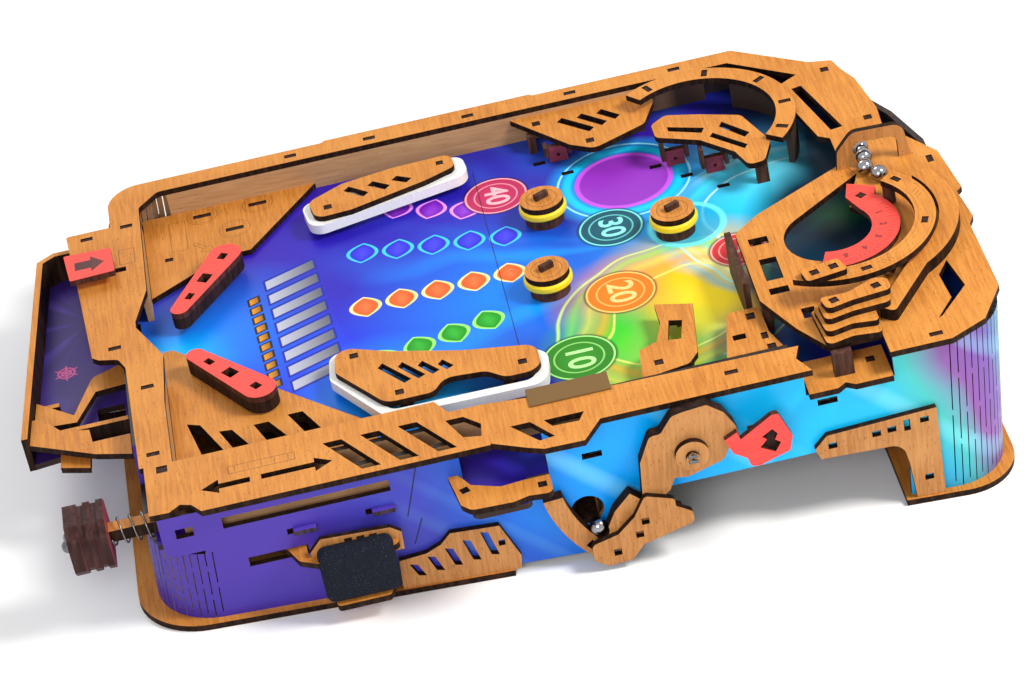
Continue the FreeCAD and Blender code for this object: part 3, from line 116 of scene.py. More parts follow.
# shader helpers
def sheetOf(name):
    material = bpy.data.materials.new(name)
    material.use_nodes = True
    tree = material.node_tree
    tree.nodes.clear()
    out = tree.nodes.new("ShaderNodeOutputMaterial")
    skin = tree.nodes.new("ShaderNodeBsdfPrincipled")
    tree.links.new(skin.outputs["BSDF"], out.inputs["Surface"])
    where = tree.nodes.new("ShaderNodeTexCoord")
    return material, tree, skin, where


def feed(tree, socket, value):
    if isinstance(value, bpy.types.NodeSocket):
        tree.links.new(value, socket)
    elif value is not None:
        socket.default_value = value


def calc(tree, operation, a, b=None, c=None):
    step = tree.nodes.new("ShaderNodeMath")
    step.operation = operation
    for socket, value in zip(step.inputs, (a, b, c)):
        feed(tree, socket, value)
    return step.outputs[0]


def times(tree, a, b):
    return calc(tree, "MULTIPLY", a, b)


def plus(tree, a, b):
    return calc(tree, "ADD", a, b)


def minus(tree, a, b):
    return calc(tree, "SUBTRACT", a, b)


def absOf(tree, a):
    return calc(tree, "ABSOLUTE", a)


def dotWith(tree, vector, axis):
    step = tree.nodes.new("ShaderNodeVectorMath")
    step.operation = "DOT_PRODUCT"
    feed(tree, step.inputs[0], vector)
    feed(tree, step.inputs[1], axis)
    return step.outputs["Value"]


def speckle(tree, vector, scale=1.0, detail=4.0, rough=0.55):
    step = tree.nodes.new("ShaderNodeTexNoise")
    feed(tree, step.inputs["Vector"], vector)
    step.inputs["Scale"].default_value = scale
    step.inputs["Detail"].default_value = detail
    step.inputs["Roughness"].default_value = rough
    return step.outputs["Fac"]


def streaks(tree, where, scale, detail, rough=0.55):
    # noise drawn out along the axis with the smallest scale
    step = tree.nodes.new("ShaderNodeMapping")
    feed(tree, step.inputs["Vector"], where.outputs["Object"])
    step.inputs["Scale"].default_value = scale
    return speckle(tree, step.outputs[0], 1.0, detail, rough)


def between(tree, value, low, high, toLow=0.0, toHigh=1.0):
    step = tree.nodes.new("ShaderNodeMapRange")
    feed(tree, step.inputs["Value"], value)
    step.inputs["From Min"].default_value = low
    step.inputs["From Max"].default_value = high
    step.inputs["To Min"].default_value = toLow
    step.inputs["To Max"].default_value = toHigh
    return step.outputs[0]


def blendColour(tree, amount, first, second):
    step = tree.nodes.new("ShaderNodeMix")
    step.data_type = "RGBA"
    feed(tree, step.inputs["Factor"], amount)
    feed(tree, step.inputs["A"], (*first, 1) if isinstance(first, tuple) else first)
    feed(tree, step.inputs["B"], (*second, 1) if isinstance(second, tuple) else second)
    return step.outputs["Result"]


def mottled(tree, value, low, high, first, second):
    return blendColour(tree, between(tree, value, low, high), first, second)


def toned(colour, share, lift=0.0):
    return tuple(min(1.0, value * share + lift) for value in colour)


def coated(tree, skin, colour, rough, shine=None):
    feed(tree, skin.inputs["Base Color"], colour)
    feed(tree, skin.inputs["Roughness"], rough)
    feed(tree, skin.inputs["Specular IOR Level"], shine)


def lacquered(skin, amount):
    skin.inputs["Coat Weight"].default_value = amount
    skin.inputs["Coat Roughness"].default_value = 0.15


def bumped(tree, skin, height, depth, strength):
    step = tree.nodes.new("ShaderNodeBump")
    step.inputs["Distance"].default_value = depth
    step.inputs["Strength"].default_value = strength
    feed(tree, step.inputs["Height"], height)
    tree.links.new(step.outputs["Normal"], skin.inputs["Normal"])


def facing(tree, where, axis):
    return absOf(tree, dotWith(tree, where.outputs["Normal"], axis))


def edgeShare(tree, where, faceAxis):
    # 1 on the cut edges of a plate, 0 on its two faces
    return between(tree, facing(tree, where, faceAxis), 0.75, 0.65)


def deckAxes(tree, where, count=2):
    # deck millimetres from object coordinates: across, along, and the level if asked
    home = deckPlace.inverted()
    rows = []
    for row in range(count):
        along = dotWith(tree, where.outputs["Object"], tuple(home[row][:3]))
        rows.append(times(tree, plus(tree, along, home[row][3]), 1000.0))
    return rows


def farFrom(tree, x, y, place):
    dx = minus(tree, x, place[0])
    dy = minus(tree, y, place[1])
    return calc(tree, "SQRT", plus(tree, times(tree, dx, dx), times(tree, dy, dy)))


def turnedFrom(tree, x, y, start, ux, uy):
    # how far along and across a line that leaves start in that direction
    dx = minus(tree, x, start[0])
    dy = minus(tree, y, start[1])
    along = plus(tree, times(tree, dx, ux), times(tree, dy, uy))
    return along, minus(tree, times(tree, dy, ux), times(tree, dx, uy))


# shapes of the prints and the burnt lines
def glow(tree, colour, x, y, place, inner, outer, tint, amount=1.0):
    share = between(tree, farFrom(tree, x, y, place), outer, inner, 0.0, amount)
    return blendColour(tree, share, colour, tint)


def ringMark(tree, colour, x, y, place, radius, half, tint, soft=0.6, amount=1.0):
    off = absOf(tree, minus(tree, farFrom(tree, x, y, place), radius))
    return blendColour(tree, between(tree, off, half + soft, half - soft, 0.0, amount), colour, tint)


def boxMark(tree, colour, x, y, place, wide, high, half, tint, amount=1.0):
    # the outline of a box, drawn as one fine line
    dx = minus(tree, absOf(tree, minus(tree, x, place[0])), wide / 2)
    dy = minus(tree, absOf(tree, minus(tree, y, place[1])), high / 2)
    off = absOf(tree, calc(tree, "MAXIMUM", dx, dy))
    return blendColour(tree, between(tree, off, half + 0.12, half - 0.05, 0.0, amount), colour, tint)


def lineMark(tree, colour, x, y, first, last, half, tint, amount=1.0):
    # one straight line
    length = math.dist(first, last)
    ux, uy = (last[0] - first[0]) / length, (last[1] - first[1]) / length
    along, across = turnedFrom(tree, x, y, first, ux, uy)
    on = times(tree, between(tree, along, -0.1, 0.1), between(tree, along, length + 0.1, length - 0.1))
    thin = between(tree, absOf(tree, across), half + 0.12, half - 0.05, 0.0, amount)
    return blendColour(tree, times(tree, on, thin), colour, tint)


def rowAxes(tree, x, y, row):
    turn = math.radians(row["turn"])
    return turnedFrom(tree, x, y, row["start"], math.cos(turn), math.sin(turn))


def rowShare(tree, along, row):
    length = row["count"] * row["pitch"]
    return times(tree, between(tree, along, 0.0, 0.2), between(tree, along, length, length - 0.2))


def rowPhase(tree, along, row):
    return minus(tree, calc(tree, "MODULO", along, row["pitch"]), row["pitch"] / 2)


def lampRow(tree, colour, x, y, row):
    # a row of pointed lamp panes with a bright outline
    along, across = rowAxes(tree, x, y, row)
    lean = calc(tree, "DIVIDE", absOf(tree, rowPhase(tree, along, row)), row["pitch"] / 2 - 0.8)
    spread = calc(tree, "DIVIDE", absOf(tree, across), row["half"])
    reach = plus(tree, lean, times(tree, spread, spread))
    inRow = rowShare(tree, along, row)
    outer = times(tree, inRow, between(tree, reach, 1.02, 0.96))
    inner = times(tree, inRow, between(tree, reach, 0.80, 0.74))
    core = times(tree, inRow, between(tree, reach, 0.62, 0.10, 0.0, 0.55))
    tone = blendColour(tree, outer, colour, row["rim"])
    tone = blendColour(tree, inner, tone, row["tint"])
    return blendColour(tree, core, tone, toned(row["tint"], 1.5, 0.05))


def barRow(tree, colour, x, y, row):
    # slanted bright bars side by side
    pitch, half = row["pitch"], row["half"]
    along, across = rowAxes(tree, x, y, row)
    travel = plus(tree, along, times(tree, across, row["lean"]))
    phase = absOf(tree, rowPhase(tree, travel, row))
    aside = absOf(tree, across)
    inRow = rowShare(tree, travel, row)
    inBand = times(tree, inRow, between(tree, aside, half + 0.2, half - 0.2))
    outer = times(tree, inBand, between(tree, phase, pitch * 0.42, pitch * 0.38))
    inset = times(tree, inRow, between(tree, aside, half - 0.9, half - 1.3))
    inner = times(tree, inset, between(tree, phase, pitch * 0.30, pitch * 0.26))
    shine = mottled(tree, across, -half, half, row["tint"], toned(row["tint"], 0.26))
    return blendColour(tree, inner, blendColour(tree, outer, colour, row["rim"]), shine)


def rayBurst(tree, colour, x, y, place, count, inner, outer, tint, amount):
    # soft beams of light that spread from one point
    angle = calc(tree, "ARCTAN2", minus(tree, y, place[1]), minus(tree, x, place[0]))
    ridge = calc(tree, "SINE", times(tree, angle, count))
    second = calc(tree, "SINE", calc(tree, "MULTIPLY_ADD", angle, count * 2.3, 1.7))
    beam = between(tree, plus(tree, ridge, times(tree, second, 0.6)), 0.2, 1.5)
    reach = farFrom(tree, x, y, place)
    fade = times(tree, between(tree, reach, inner * 0.3, inner), between(tree, reach, outer, inner))
    return blendColour(tree, times(tree, times(tree, beam, fade), amount), colour, tint)


# a white room that looks brighter than the light it gives
roomPower = {"given": 0.48, "seen": 1.0}
world = bpy.data.worlds.new("paleRoom")
bpy.context.scene.world = world
world.use_nodes = True
room = world.node_tree
room.nodes.clear()
rays = room.nodes.new("ShaderNodeLightPath")
seen = calc(room, "MAXIMUM", rays.outputs["Is Camera Ray"], rays.outputs["Is Glossy Ray"])
seen = calc(room, "MAXIMUM", seen, rays.outputs["Is Transmission Ray"])
roomMix = room.nodes.new("ShaderNodeMixShader")
feed(room, roomMix.inputs[0], seen)
for index, power in enumerate((roomPower["given"], roomPower["seen"]), start=1):
    light = room.nodes.new("ShaderNodeBackground")
    light.inputs["Color"].default_value = (1, 1, 1, 1)
    light.inputs["Strength"].default_value = power
    feed(room, roomMix.inputs[index], light.outputs[0])
roomOut = room.nodes.new("ShaderNodeOutputWorld")
feed(room, roomOut.inputs["Surface"], roomMix.outputs[0])
bpy.context.scene.view_settings.view_transform = "Standard"
print("camera, lamps and room made")

# wood
plyLook = {
    "face": (0.585, 0.232, 0.042),
    "faceDark": (0.430, 0.150, 0.022),
    "faceLight": (0.670, 0.290, 0.062),
    "burn": (0.012, 0.006, 0.004),
    "burnLight": (0.046, 0.021, 0.012),
    "pore": (0.11, 0.036, 0.010),
    "mark": (0.085, 0.028, 0.010),
    "bare": (0.36, 0.19, 0.085),
    # painted shade: near-black for the inner walls and panel insides round the loop, from the first level
    # back to the full one
    "loopShade": (0.022, 0.014, 0.014),
    "loopShadeFrom": 268.0,
    "loopShadeFull": 284.0,
}
grainLook = {
    "Y": {"fibre": (760, 60, 760), "pore": (1900, 430, 1900)},
    "X": {"fibre": (60, 760, 760), "pore": (430, 1900, 1900)},
    "Z": {"fibre": (760, 760, 60), "pore": (1900, 1900, 430)},
    "patch": (30, 14, 30),
    "char": (420, 420, 60),
    "layer": (90, 90, 1500),
}
deckTones = (plyLook["face"], plyLook["faceDark"], plyLook["faceLight"])
sideTones = ((0.50, 0.225, 0.070), (0.37, 0.145, 0.038), (0.60, 0.290, 0.100))
ribTones = ((0.52, 0.28, 0.12), (0.40, 0.20, 0.08), (0.62, 0.36, 0.17))


def grainOf(tree, where, along="Y"):
    fibres = streaks(tree, where, grainLook[along]["fibre"], 3.0, 0.5)
    grains = streaks(tree, where, grainLook[along]["pore"], 1.0, 0.5)
    return fibres, between(tree, grains, 0.66, 0.74)


def patchesOf(tree, where):
    return streaks(tree, where, grainLook["patch"], 2.0)


def charredEdge(tree, where):
    char = streaks(tree, where, grainLook["char"], 3.0)
    layer = streaks(tree, where, grainLook["layer"], 1.0)
    burn = blendColour(tree, between(tree, char, 0.42, 0.68, 0.0, 0.8), plyLook["burn"], plyLook["burnLight"])
    return blendColour(tree, between(tree, layer, 0.50, 0.62, 0.0, 0.35), burn, plyLook["burn"])


def plyMaterial(name, faceAxis, tones, grain="X", marks=None):
    material, tree, skin, where = sheetOf(name)
    face, faceDark, faceLight = tones
    fibres, pores = grainOf(tree, where, grain)
    tone = mottled(tree, fibres, 0.33, 0.68, faceDark, face)
    patches = between(tree, patchesOf(tree, where), 0.46, 0.72, 0.0, 0.5)
    tone = blendColour(tree, patches, tone, faceLight)
    tone = blendColour(tree, times(tree, pores, 0.62), tone, plyLook["pore"])
    if marks:
        tone = marks(tree, tone, *deckAxes(tree, where))
    edge = edgeShare(tree, where, faceAxis)
    rough = plus(tree, between(tree, fibres, 0.3, 0.7, 0.44, 0.56), times(tree, edge, 0.08))
    shine = between(tree, edge, 0.2, 0.8, 0.19, 0.07)
    coated(tree, skin, blendColour(tree, edge, tone, charredEdge(tree, where)), rough, shine)
    bumped(tree, skin, minus(tree, times(tree, fibres, 0.4), times(tree, pores, 0.8)), 0.0001, 0.45)
    return material


def paintedPly(name, faceAxis, paint, paintDark, burn=(0.045, 0.016, 0.012), rough=0.42, marks=None):
    material, tree, skin, where = sheetOf(name)
    fibres, pores = grainOf(tree, where)
    tone = mottled(tree, fibres, 0.35, 0.7, paintDark, paint)
    tone = blendColour(tree, times(tree, pores, 0.4), tone, toned(paintDark, 0.5))
    if marks:
        tone = marks(tree, tone, *deckAxes(tree, where))
    char = streaks(tree, where, grainLook["char"], 3.0)
    edgeTone = mottled(tree, char, 0.4, 0.7, burn, toned(burn, 2.4))
    edge = edgeShare(tree, where, faceAxis)
    grainRough = between(tree, fibres, 0.3, 0.7, rough - 0.04, rough + 0.12)
    shine = between(tree, edge, 0.2, 0.8, 0.22, 0.07)
    coated(tree, skin, blendColour(tree, edge, tone, edgeTone), grainRough, shine)
    bumped(tree, skin, fibres, 0.0001, 0.4)
    return material


# fine burnt lines on the plates
ringAt = (rightX - 97, backY - 59)
coverAt = (rightX - 88, backY - 58.5)
bumperSpots = ((rightX - 189.5, 204), (rightX - 129, 197), (rightX - 155, 262))
apronRings = [(leftX + across, along) for across, along in ((15, 41), (15, 69), (33, 56))]
apronShape = ((38, 36), (44, 41), (43, 43), (50, 45), (47, 38), (45, 39.5), (39.5, 34.5), (38, 36))
apronBolt = [(leftX + across, along) for across, along in apronShape]
# painted shade: the dark arrow stands for the shade seen through the reset tab's arrow window
tabArrow = {"across": leftX + 70.5, "middle": -14.5, "half": 3.4, "headHalf": 6.2, "narrowing": 0.82,
            "steps": 8, "step": 0.8, "windowShade": (0.020, 0.012, 0.012)}


def apronMarks(tree, tone, x, y):
    for place in apronRings:
        tone = ringMark(tree, tone, x, y, place, 7.6, 0.14, plyLook["mark"], 0.14, 0.75)
        tone = ringMark(tree, tone, x, y, place, 6.2, 0.10, plyLook["mark"], 0.14, 0.6)
    tone = boxMark(tree, tone, x, y, (leftX + 29, 28), 26, 8, 0.10, plyLook["mark"], 0.7)
    for first, last in zip(apronBolt, apronBolt[1:]):
        tone = lineMark(tree, tone, x, y, first, last, 0.10, plyLook["mark"], 0.7)
    return tone


def tabMarks(tree, tone, x, y):
    # a plain dark arrow painted on the red tab as the shade inside its arrow window: painted shade; its
    # shaft, then its head in steps
    middle = tabArrow["middle"]
    strokes = [(middle - 6.5, middle + 1.6, tabArrow["half"])]
    for index in range(tabArrow["steps"]):
        low = middle + 1.4 + index * tabArrow["step"]
        half = tabArrow["headHalf"] - index * tabArrow["narrowing"]
        strokes.append((low, low + tabArrow["step"], half))
    for low, high, half in strokes:
        ends = (tabArrow["across"], low), (tabArrow["across"], high)
        tone = lineMark(tree, tone, x, y, *ends, half, tabArrow["windowShade"], 0.95)
    return tone


def rimMarks(tree, tone, x, y):
    tone = boxMark(tree, tone, x, y, (rightX - 21, 52), 5.5, 30, 0.12, plyLook["mark"], 0.85)
    tone = boxMark(tree, tone, x, y, (leftX + 60, 3.5), 13, 7.5, 0.12, plyLook["mark"], 0.8)
    for along in (40, 46, 52, 58, 64):
        ends = (rightX - 23, along), (rightX - 19, along)
        tone = lineMark(tree, tone, x, y, *ends, 0.12, plyLook["mark"], 0.7)
    return tone


def coverMarks(tree, tone, x, y):
    for radius in (38.6, 45.0):
        tone = ringMark(tree, tone, x, y, coverAt, radius, 0.09, plyLook["mark"], 0.14, 0.55)
    for angle in (100, 20):
        for step in (-2.5, 0, 2.5):
            turn = angle + math.degrees(step / 42)
            ends = aroundAt(coverAt, 40, turn), aroundAt(coverAt, 43.5, turn + math.degrees(0.06))
            tone = lineMark(tree, tone, x, y, *ends, 0.12, plyLook["mark"], 0.7)
    return tone


def capMarks(tree, tone, x, y):
    for spot in bumperSpots:
        tone = ringMark(tree, tone, x, y, spot, 7.4, 0.16, plyLook["mark"], 0.16, 0.8)
        tone = ringMark(tree, tone, x, y, spot, 4.6, 0.12, plyLook["mark"], 0.16, 0.5)
    return tone


plyDeck = plyMaterial("plyDeck", deckAxis, deckTones)
plyApron = plyMaterial("plyApron", deckAxis, deckTones, marks=apronMarks)
plyRim = plyMaterial("plyRim", deckAxis, deckTones, marks=rimMarks)
plyCover = plyMaterial("plyCover", deckAxis, deckTones, marks=coverMarks)
plyCap = plyMaterial("plyCap", deckAxis, deckTones, marks=capMarks)
plyFlat = plyMaterial("plyFlat", upAxis, deckTones)
plySide = plyMaterial("plySide", sideAxis, sideTones, "Z")
ribBare = plyMaterial("ribBare", frontAxis, ribTones)
redTop = paintedPly("redTop", deckAxis, (0.84, 0.078, 0.058), (0.76, 0.060, 0.045))
redTab = paintedPly("redTab", deckAxis, (0.84, 0.078, 0.058), (0.76, 0.060, 0.045), marks=tabMarks)
redSide = paintedPly("redSide", sideAxis, (0.90, 0.075, 0.060), (0.80, 0.055, 0.045))
maroonSide = paintedPly("maroonSide", sideAxis, (0.26, 0.036, 0.062), (0.18, 0.026, 0.045))
darkPly = paintedPly("darkPly", noAxis, (0.055, 0.026, 0.018), (0.030, 0.014, 0.010),
                     (0.045, 0.020, 0.014), 0.5)
knobPly = paintedPly("knobPly", frontAxis, (0.30, 0.050, 0.060), (0.18, 0.03, 0.04),
                     (0.030, 0.013, 0.012), 0.45)
flipperCore = paintedPly("flipperCore", deckAxis, (0.10, 0.045, 0.030), (0.05, 0.022, 0.016),
                         (0.016, 0.008, 0.006), 0.45)
endGrain = paintedPly("endGrain", noAxis, (0.030, 0.014, 0.010), (0.018, 0.009, 0.007),
                      (0.020, 0.010, 0.008), 0.5)
hookPly = paintedPly("hookPly", deckAxis, (0.100, 0.050, 0.480), (0.070, 0.034, 0.360),
                     (0.030, 0.020, 0.030), 0.4)


def wallMaterial():
    # inner walls: tan ply stood on edge, charred along its top, darkened round the loop as painted shade
    material, tree, skin, where = sheetOf("wallTan")
    fibres, pores = grainOf(tree, where)
    fibreShare = between(tree, fibres, 0.3, 0.7, 0.1, 0.9)
    tone = blendColour(tree, fibreShare, plyLook["bare"], (0.50, 0.285, 0.135))
    patches = between(tree, patchesOf(tree, where), 0.45, 0.75, 0.0, 0.5)
    tone = blendColour(tree, patches, tone, (0.60, 0.36, 0.18))
    tone = blendColour(tree, times(tree, pores, 0.35), tone, (0.16, 0.07, 0.03))
    y = deckAxes(tree, where)[1]
    # painted shade: the wall darkens towards the back, round the loop, where shade falls
    loopShaded = between(tree, y, plyLook["loopShadeFrom"], plyLook["loopShadeFull"], 0.0, 0.93)
    tone = blendColour(tree, loopShaded, tone, plyLook["loopShade"])
    top = between(tree, facing(tree, where, deckAxis), 0.60, 0.75)
    rough = between(tree, fibres, 0.3, 0.7, 0.45, 0.58)
    coated(tree, skin, blendColour(tree, top, tone, charredEdge(tree, where)), rough, 0.2)
    bumped(tree, skin, fibres, 0.00008, 0.4)
    return material


wallTan = wallMaterial()
print("wood materials made")


# rubber, foam, steel and ink
def rubberMaterial(name, colour, rough):
    material, tree, skin, where = sheetOf(name)
    grain = speckle(tree, where.outputs["Object"], 900.0, 4.0)
    tone = mottled(tree, grain, 0.3, 0.7, toned(colour, 0.86), colour)
    coated(tree, skin, tone, between(tree, grain, 0.3, 0.7, rough - 0.06, rough + 0.08))
    bumped(tree, skin, grain, 0.00006, 0.5)
    return material


def foamMaterial():
    material, tree, skin, where = sheetOf("foamBlack")
    cells = tree.nodes.new("ShaderNodeTexVoronoi")
    feed(tree, cells.inputs["Vector"], where.outputs["Object"])
    cells.inputs["Scale"].default_value = 1700.0
    depth = cells.outputs["Distance"]
    grain = speckle(tree, where.outputs["Object"], 2200.0, 2.0)
    tone = mottled(tree, depth, 0.1, 0.6, (0.002, 0.003, 0.006), (0.008, 0.010, 0.019))
    # the pale flecks are painted glints on the foam: painted highlight
    coated(tree, skin, mottled(tree, grain, 0.66, 0.74, tone, (0.13, 0.18, 0.24)), 0.75, 0.12)
    bumped(tree, skin, depth, 0.0004, 0.9)
    return material


def steelMaterial(name, rough, colour):
    material, tree, skin, where = sheetOf(name)
    wear = speckle(tree, where.outputs["Object"], 500.0, 5.0)
    tone = mottled(tree, wear, 0.35, 0.7, toned(colour, 0.82), colour)
    coated(tree, skin, tone, between(tree, wear, 0.3, 0.75, rough, rough + 0.10))
    skin.inputs["Metallic"].default_value = 1.0
    bumped(tree, skin, wear, 0.00001, 0.2)
    return material


def inkMaterial(name, colour, rough=0.35):
    material, tree, skin, where = sheetOf(name)
    grain = speckle(tree, where.outputs["Object"], 700.0, 3.0)
    tone = mottled(tree, grain, 0.3, 0.7, toned(colour, 0.8), colour)
    coated(tree, skin, tone, between(tree, grain, 0.3, 0.7, rough, rough + 0.1))
    return material


bandWhite = rubberMaterial("bandWhite", (0.82, 0.81, 0.78), 0.5)
ringYellow = rubberMaterial("ringYellow", (0.90, 0.66, 0.010), 0.42)
rawBoard = rubberMaterial("rawBoard", (0.155, 0.080, 0.018), 0.8)
foamBlack = foamMaterial()
# the ball steel is darker than bare steel: partly steel, partly painted shade for balls that lie in a dark
# slot
ballSteel = steelMaterial("ballSteel", 0.09, (0.33, 0.33, 0.35))
boltSteel = steelMaterial("boltSteel", 0.16, (0.16, 0.16, 0.17))
wireSteel = steelMaterial("wireSteel", 0.28, (0.24, 0.22, 0.20))
gaugeInk = inkMaterial("gaugeInk", (0.24, 0.020, 0.018), 0.5)
print("rubber, foam, steel and ink made")

# the field's print, with painted shade laid over it
inks = {
    "violet": (0.075, 0.022, 0.400),
    "deepBlue": (0.020, 0.030, 0.380),
    "blue": (0.006, 0.085, 0.850),
    "sky": (0.000, 0.330, 0.980),
    "cyan": (0.010, 0.600, 0.920),
    "paleCyan": (0.260, 0.880, 0.980),
    "orange": (0.960, 0.260, 0.012),
    "yellow": (0.960, 0.590, 0.006),
    "green": (0.060, 0.580, 0.018),
    "shade": (0.004, 0.014, 0.050),
    "seam": (0.010, 0.008, 0.020),
    "cut": (0.030, 0.015, 0.012),
}
fieldLook = {"warp": (50.0, -45.0), "seam": ((-110, 176), (104, 176)), "gamma": 1.22}
coolEye, warmEye, leftEye, topEye = (-8, 316), (50, 246), (-72, 246), (-22, 268)
# soft washes of colour: place, inner and outer radius, tint, amount
lowWashes = [
    ((-40, 130), 5, 120, (0.035, 0.030, 0.52), 0.9),
    ((-5, 30), 12, 72, inks["sky"], 1.0),
    ((-5, 20), 2, 34, inks["cyan"], 0.8),
    ((40, 90), 10, 75, inks["blue"], 0.85),
    ((68, 120), 5, 60, inks["cyan"], 0.75),
    ((0, 180), 10, 80, inks["sky"], 0.75),
]
highWashes = [
    ((-95, 262), 10, 70, inks["violet"], 0.9),
    ((-15, 305), 10, 92, inks["cyan"], 1.0),
    ((-52, 330), 8, 66, inks["paleCyan"], 0.8),
    ((28, 256), 8, 52, inks["yellow"], 1.0),
    ((50, 262), 6, 34, (0.99, 0.78, 0.01), 1.0),
    ((26, 222), 4, 34, inks["orange"], 0.8),
    ((58, 218), 5, 36, inks["green"], 0.95),
    ((84, 240), 4, 36, (0.35, 0.80, 0.02), 0.9),
]
# the first six darken the field where it lies in shade, under the ring, the loop arch, the cover and the lane
# brackets: painted shade; the last three are print
shadeWashes = [
    (ringAt, 30, 50, (0.004, 0.030, 0.060), 0.94),
    ((-10, 334), 24, 42, (0.004, 0.026, 0.055), 0.95),
    ((-4, 338), 3, 20, (0.006, 0.110, 0.022), 0.8),
    ((-60, 372), 36, 62, inks["shade"], 0.95),
    ((-122, 330), 18, 42, inks["shade"], 0.9),
    ((96, 285), 8, 34, (0.004, 0.020, 0.050), 0.8),
    (leftEye, 34, 40, (0.02, 0.36, 0.80), 0.7),
    (leftEye, 21.5, 22.5, (0.36, 0.03, 0.50), 0.9),
    (topEye, 15.5, 16.5, (0.01, 0.42, 0.66), 0.8),
]
# rings: place, radius, half width, tint, softness, amount
softRings = [
    (coolEye, 54, 2.4, (0.10, 0.80, 0.95), 3.0, 0.65),
    (coolEye, 61, 1.2, (0.55, 0.95, 1.0), 3.0, 0.65),
    (coolEye, 68, 2.2, (0.02, 0.50, 0.95), 3.0, 0.65),
    (warmEye, 36, 2.2, (1.0, 0.42, 0.02), 2.6, 0.6),
    (warmEye, 42, 1.4, (0.98, 0.80, 0.05), 2.6, 0.6),
    (warmEye, 48, 1.6, (0.30, 0.85, 0.03), 2.6, 0.6),
    (coolEye, 64, 0.5, (0.40, 0.92, 1.0), 0.5, 0.85),
    (coolEye, 47, 0.5, (0.75, 1.0, 1.0), 0.5, 0.85),
    (warmEye, 31, 0.5, (1.0, 0.88, 0.25), 0.5, 0.8),
    (warmEye, 53, 0.6, (0.70, 0.98, 0.20), 0.5, 0.8),
]
crispRings = [
    (leftEye, 23, 1.1, (0.70, 0.10, 0.78), 0.6, 0.9),
    (leftEye, 28, 2.2, (0.02, 0.62, 0.90), 1.0, 0.9),
    (leftEye, 32.5, 0.5, (0.45, 0.95, 1.0), 0.4, 0.9),
    (topEye, 17.5, 1.4, (0.20, 0.86, 0.95), 0.8, 0.9),
]
lampPane = {"pitch": 17.5, "half": 8.6}
lampRows = [
    {"start": (-103, 112), "turn": 66, "count": 4, "tint": (0.24, 0.030, 0.50), "rim": (0.90, 0.36, 0.95)},
    {"start": (-62, 106), "turn": 79, "count": 5, "tint": (0.050, 0.045, 0.62), "rim": (0.08, 0.62, 1.0)},
    {"start": (-14, 102), "turn": 91, "count": 5, "tint": (0.92, 0.150, 0.035), "rim": (1.0, 0.78, 0.38)},
    {"start": (34, 106), "turn": 104, "count": 4, "tint": (0.020, 0.340, 0.020), "rim": (0.40, 0.90, 0.22)},
]
barSlant = {"turn": 3, "lean": 0.35}
barRows = [
    {"start": (-62, 78), "count": 8, "pitch": 12.5, "half": 13.5,
     "tint": (0.54, 0.56, 0.66), "rim": (0.012, 0.030, 0.40)},
    {"start": (-44, 59), "count": 10, "pitch": 8.0, "half": 3.2,
     "tint": (0.92, 0.42, 0.02), "rim": (0.008, 0.010, 0.030)},
]
scoreDiscs = [
    {"number": "20", "place": (21, 228), "radius": 16.5,
     "tint": (0.86, 0.230, 0.020), "rim": (1.0, 0.62, 0.20)},
    {"number": "30", "place": (-34, 233), "radius": 15.5,
     "tint": (0.015, 0.120, 0.170), "rim": (0.25, 0.80, 0.75)},
    {"number": "10", "place": (65, 201), "radius": 17.0,
     "tint": (0.045, 0.260, 0.020), "rim": (0.45, 0.85, 0.30)},
    {"number": "40", "place": (-84, 184), "radius": 15.5,
     "tint": (0.500, 0.040, 0.140), "rim": (0.95, 0.45, 0.50)},
    {"number": "5", "place": (8, 287), "radius": 13.5,
     "tint": (0.620, 0.050, 0.060), "rim": (1.0, 0.50, 0.45)},
]


def discMark(tree, tone, x, y, disc):
    place, radius, tint, rim = disc["place"], disc["radius"], disc["tint"], disc["rim"]
    tone = glow(tree, tone, x, y, place, radius + 0.2, radius + 1.6, (0.01, 0.01, 0.04), 0.7)
    tone = glow(tree, tone, x, y, place, radius - 0.2, radius + 0.1, tint)
    tone = ringMark(tree, tone, x, y, place, radius - 0.6, 0.45, rim, 0.2)
    tone = ringMark(tree, tone, x, y, place, radius * 0.68, 0.35, rim, 0.3, 0.8)
    return glow(tree, tone, x, y, place, 1.0, radius * 0.66, toned(tint, 1.5), 0.5)


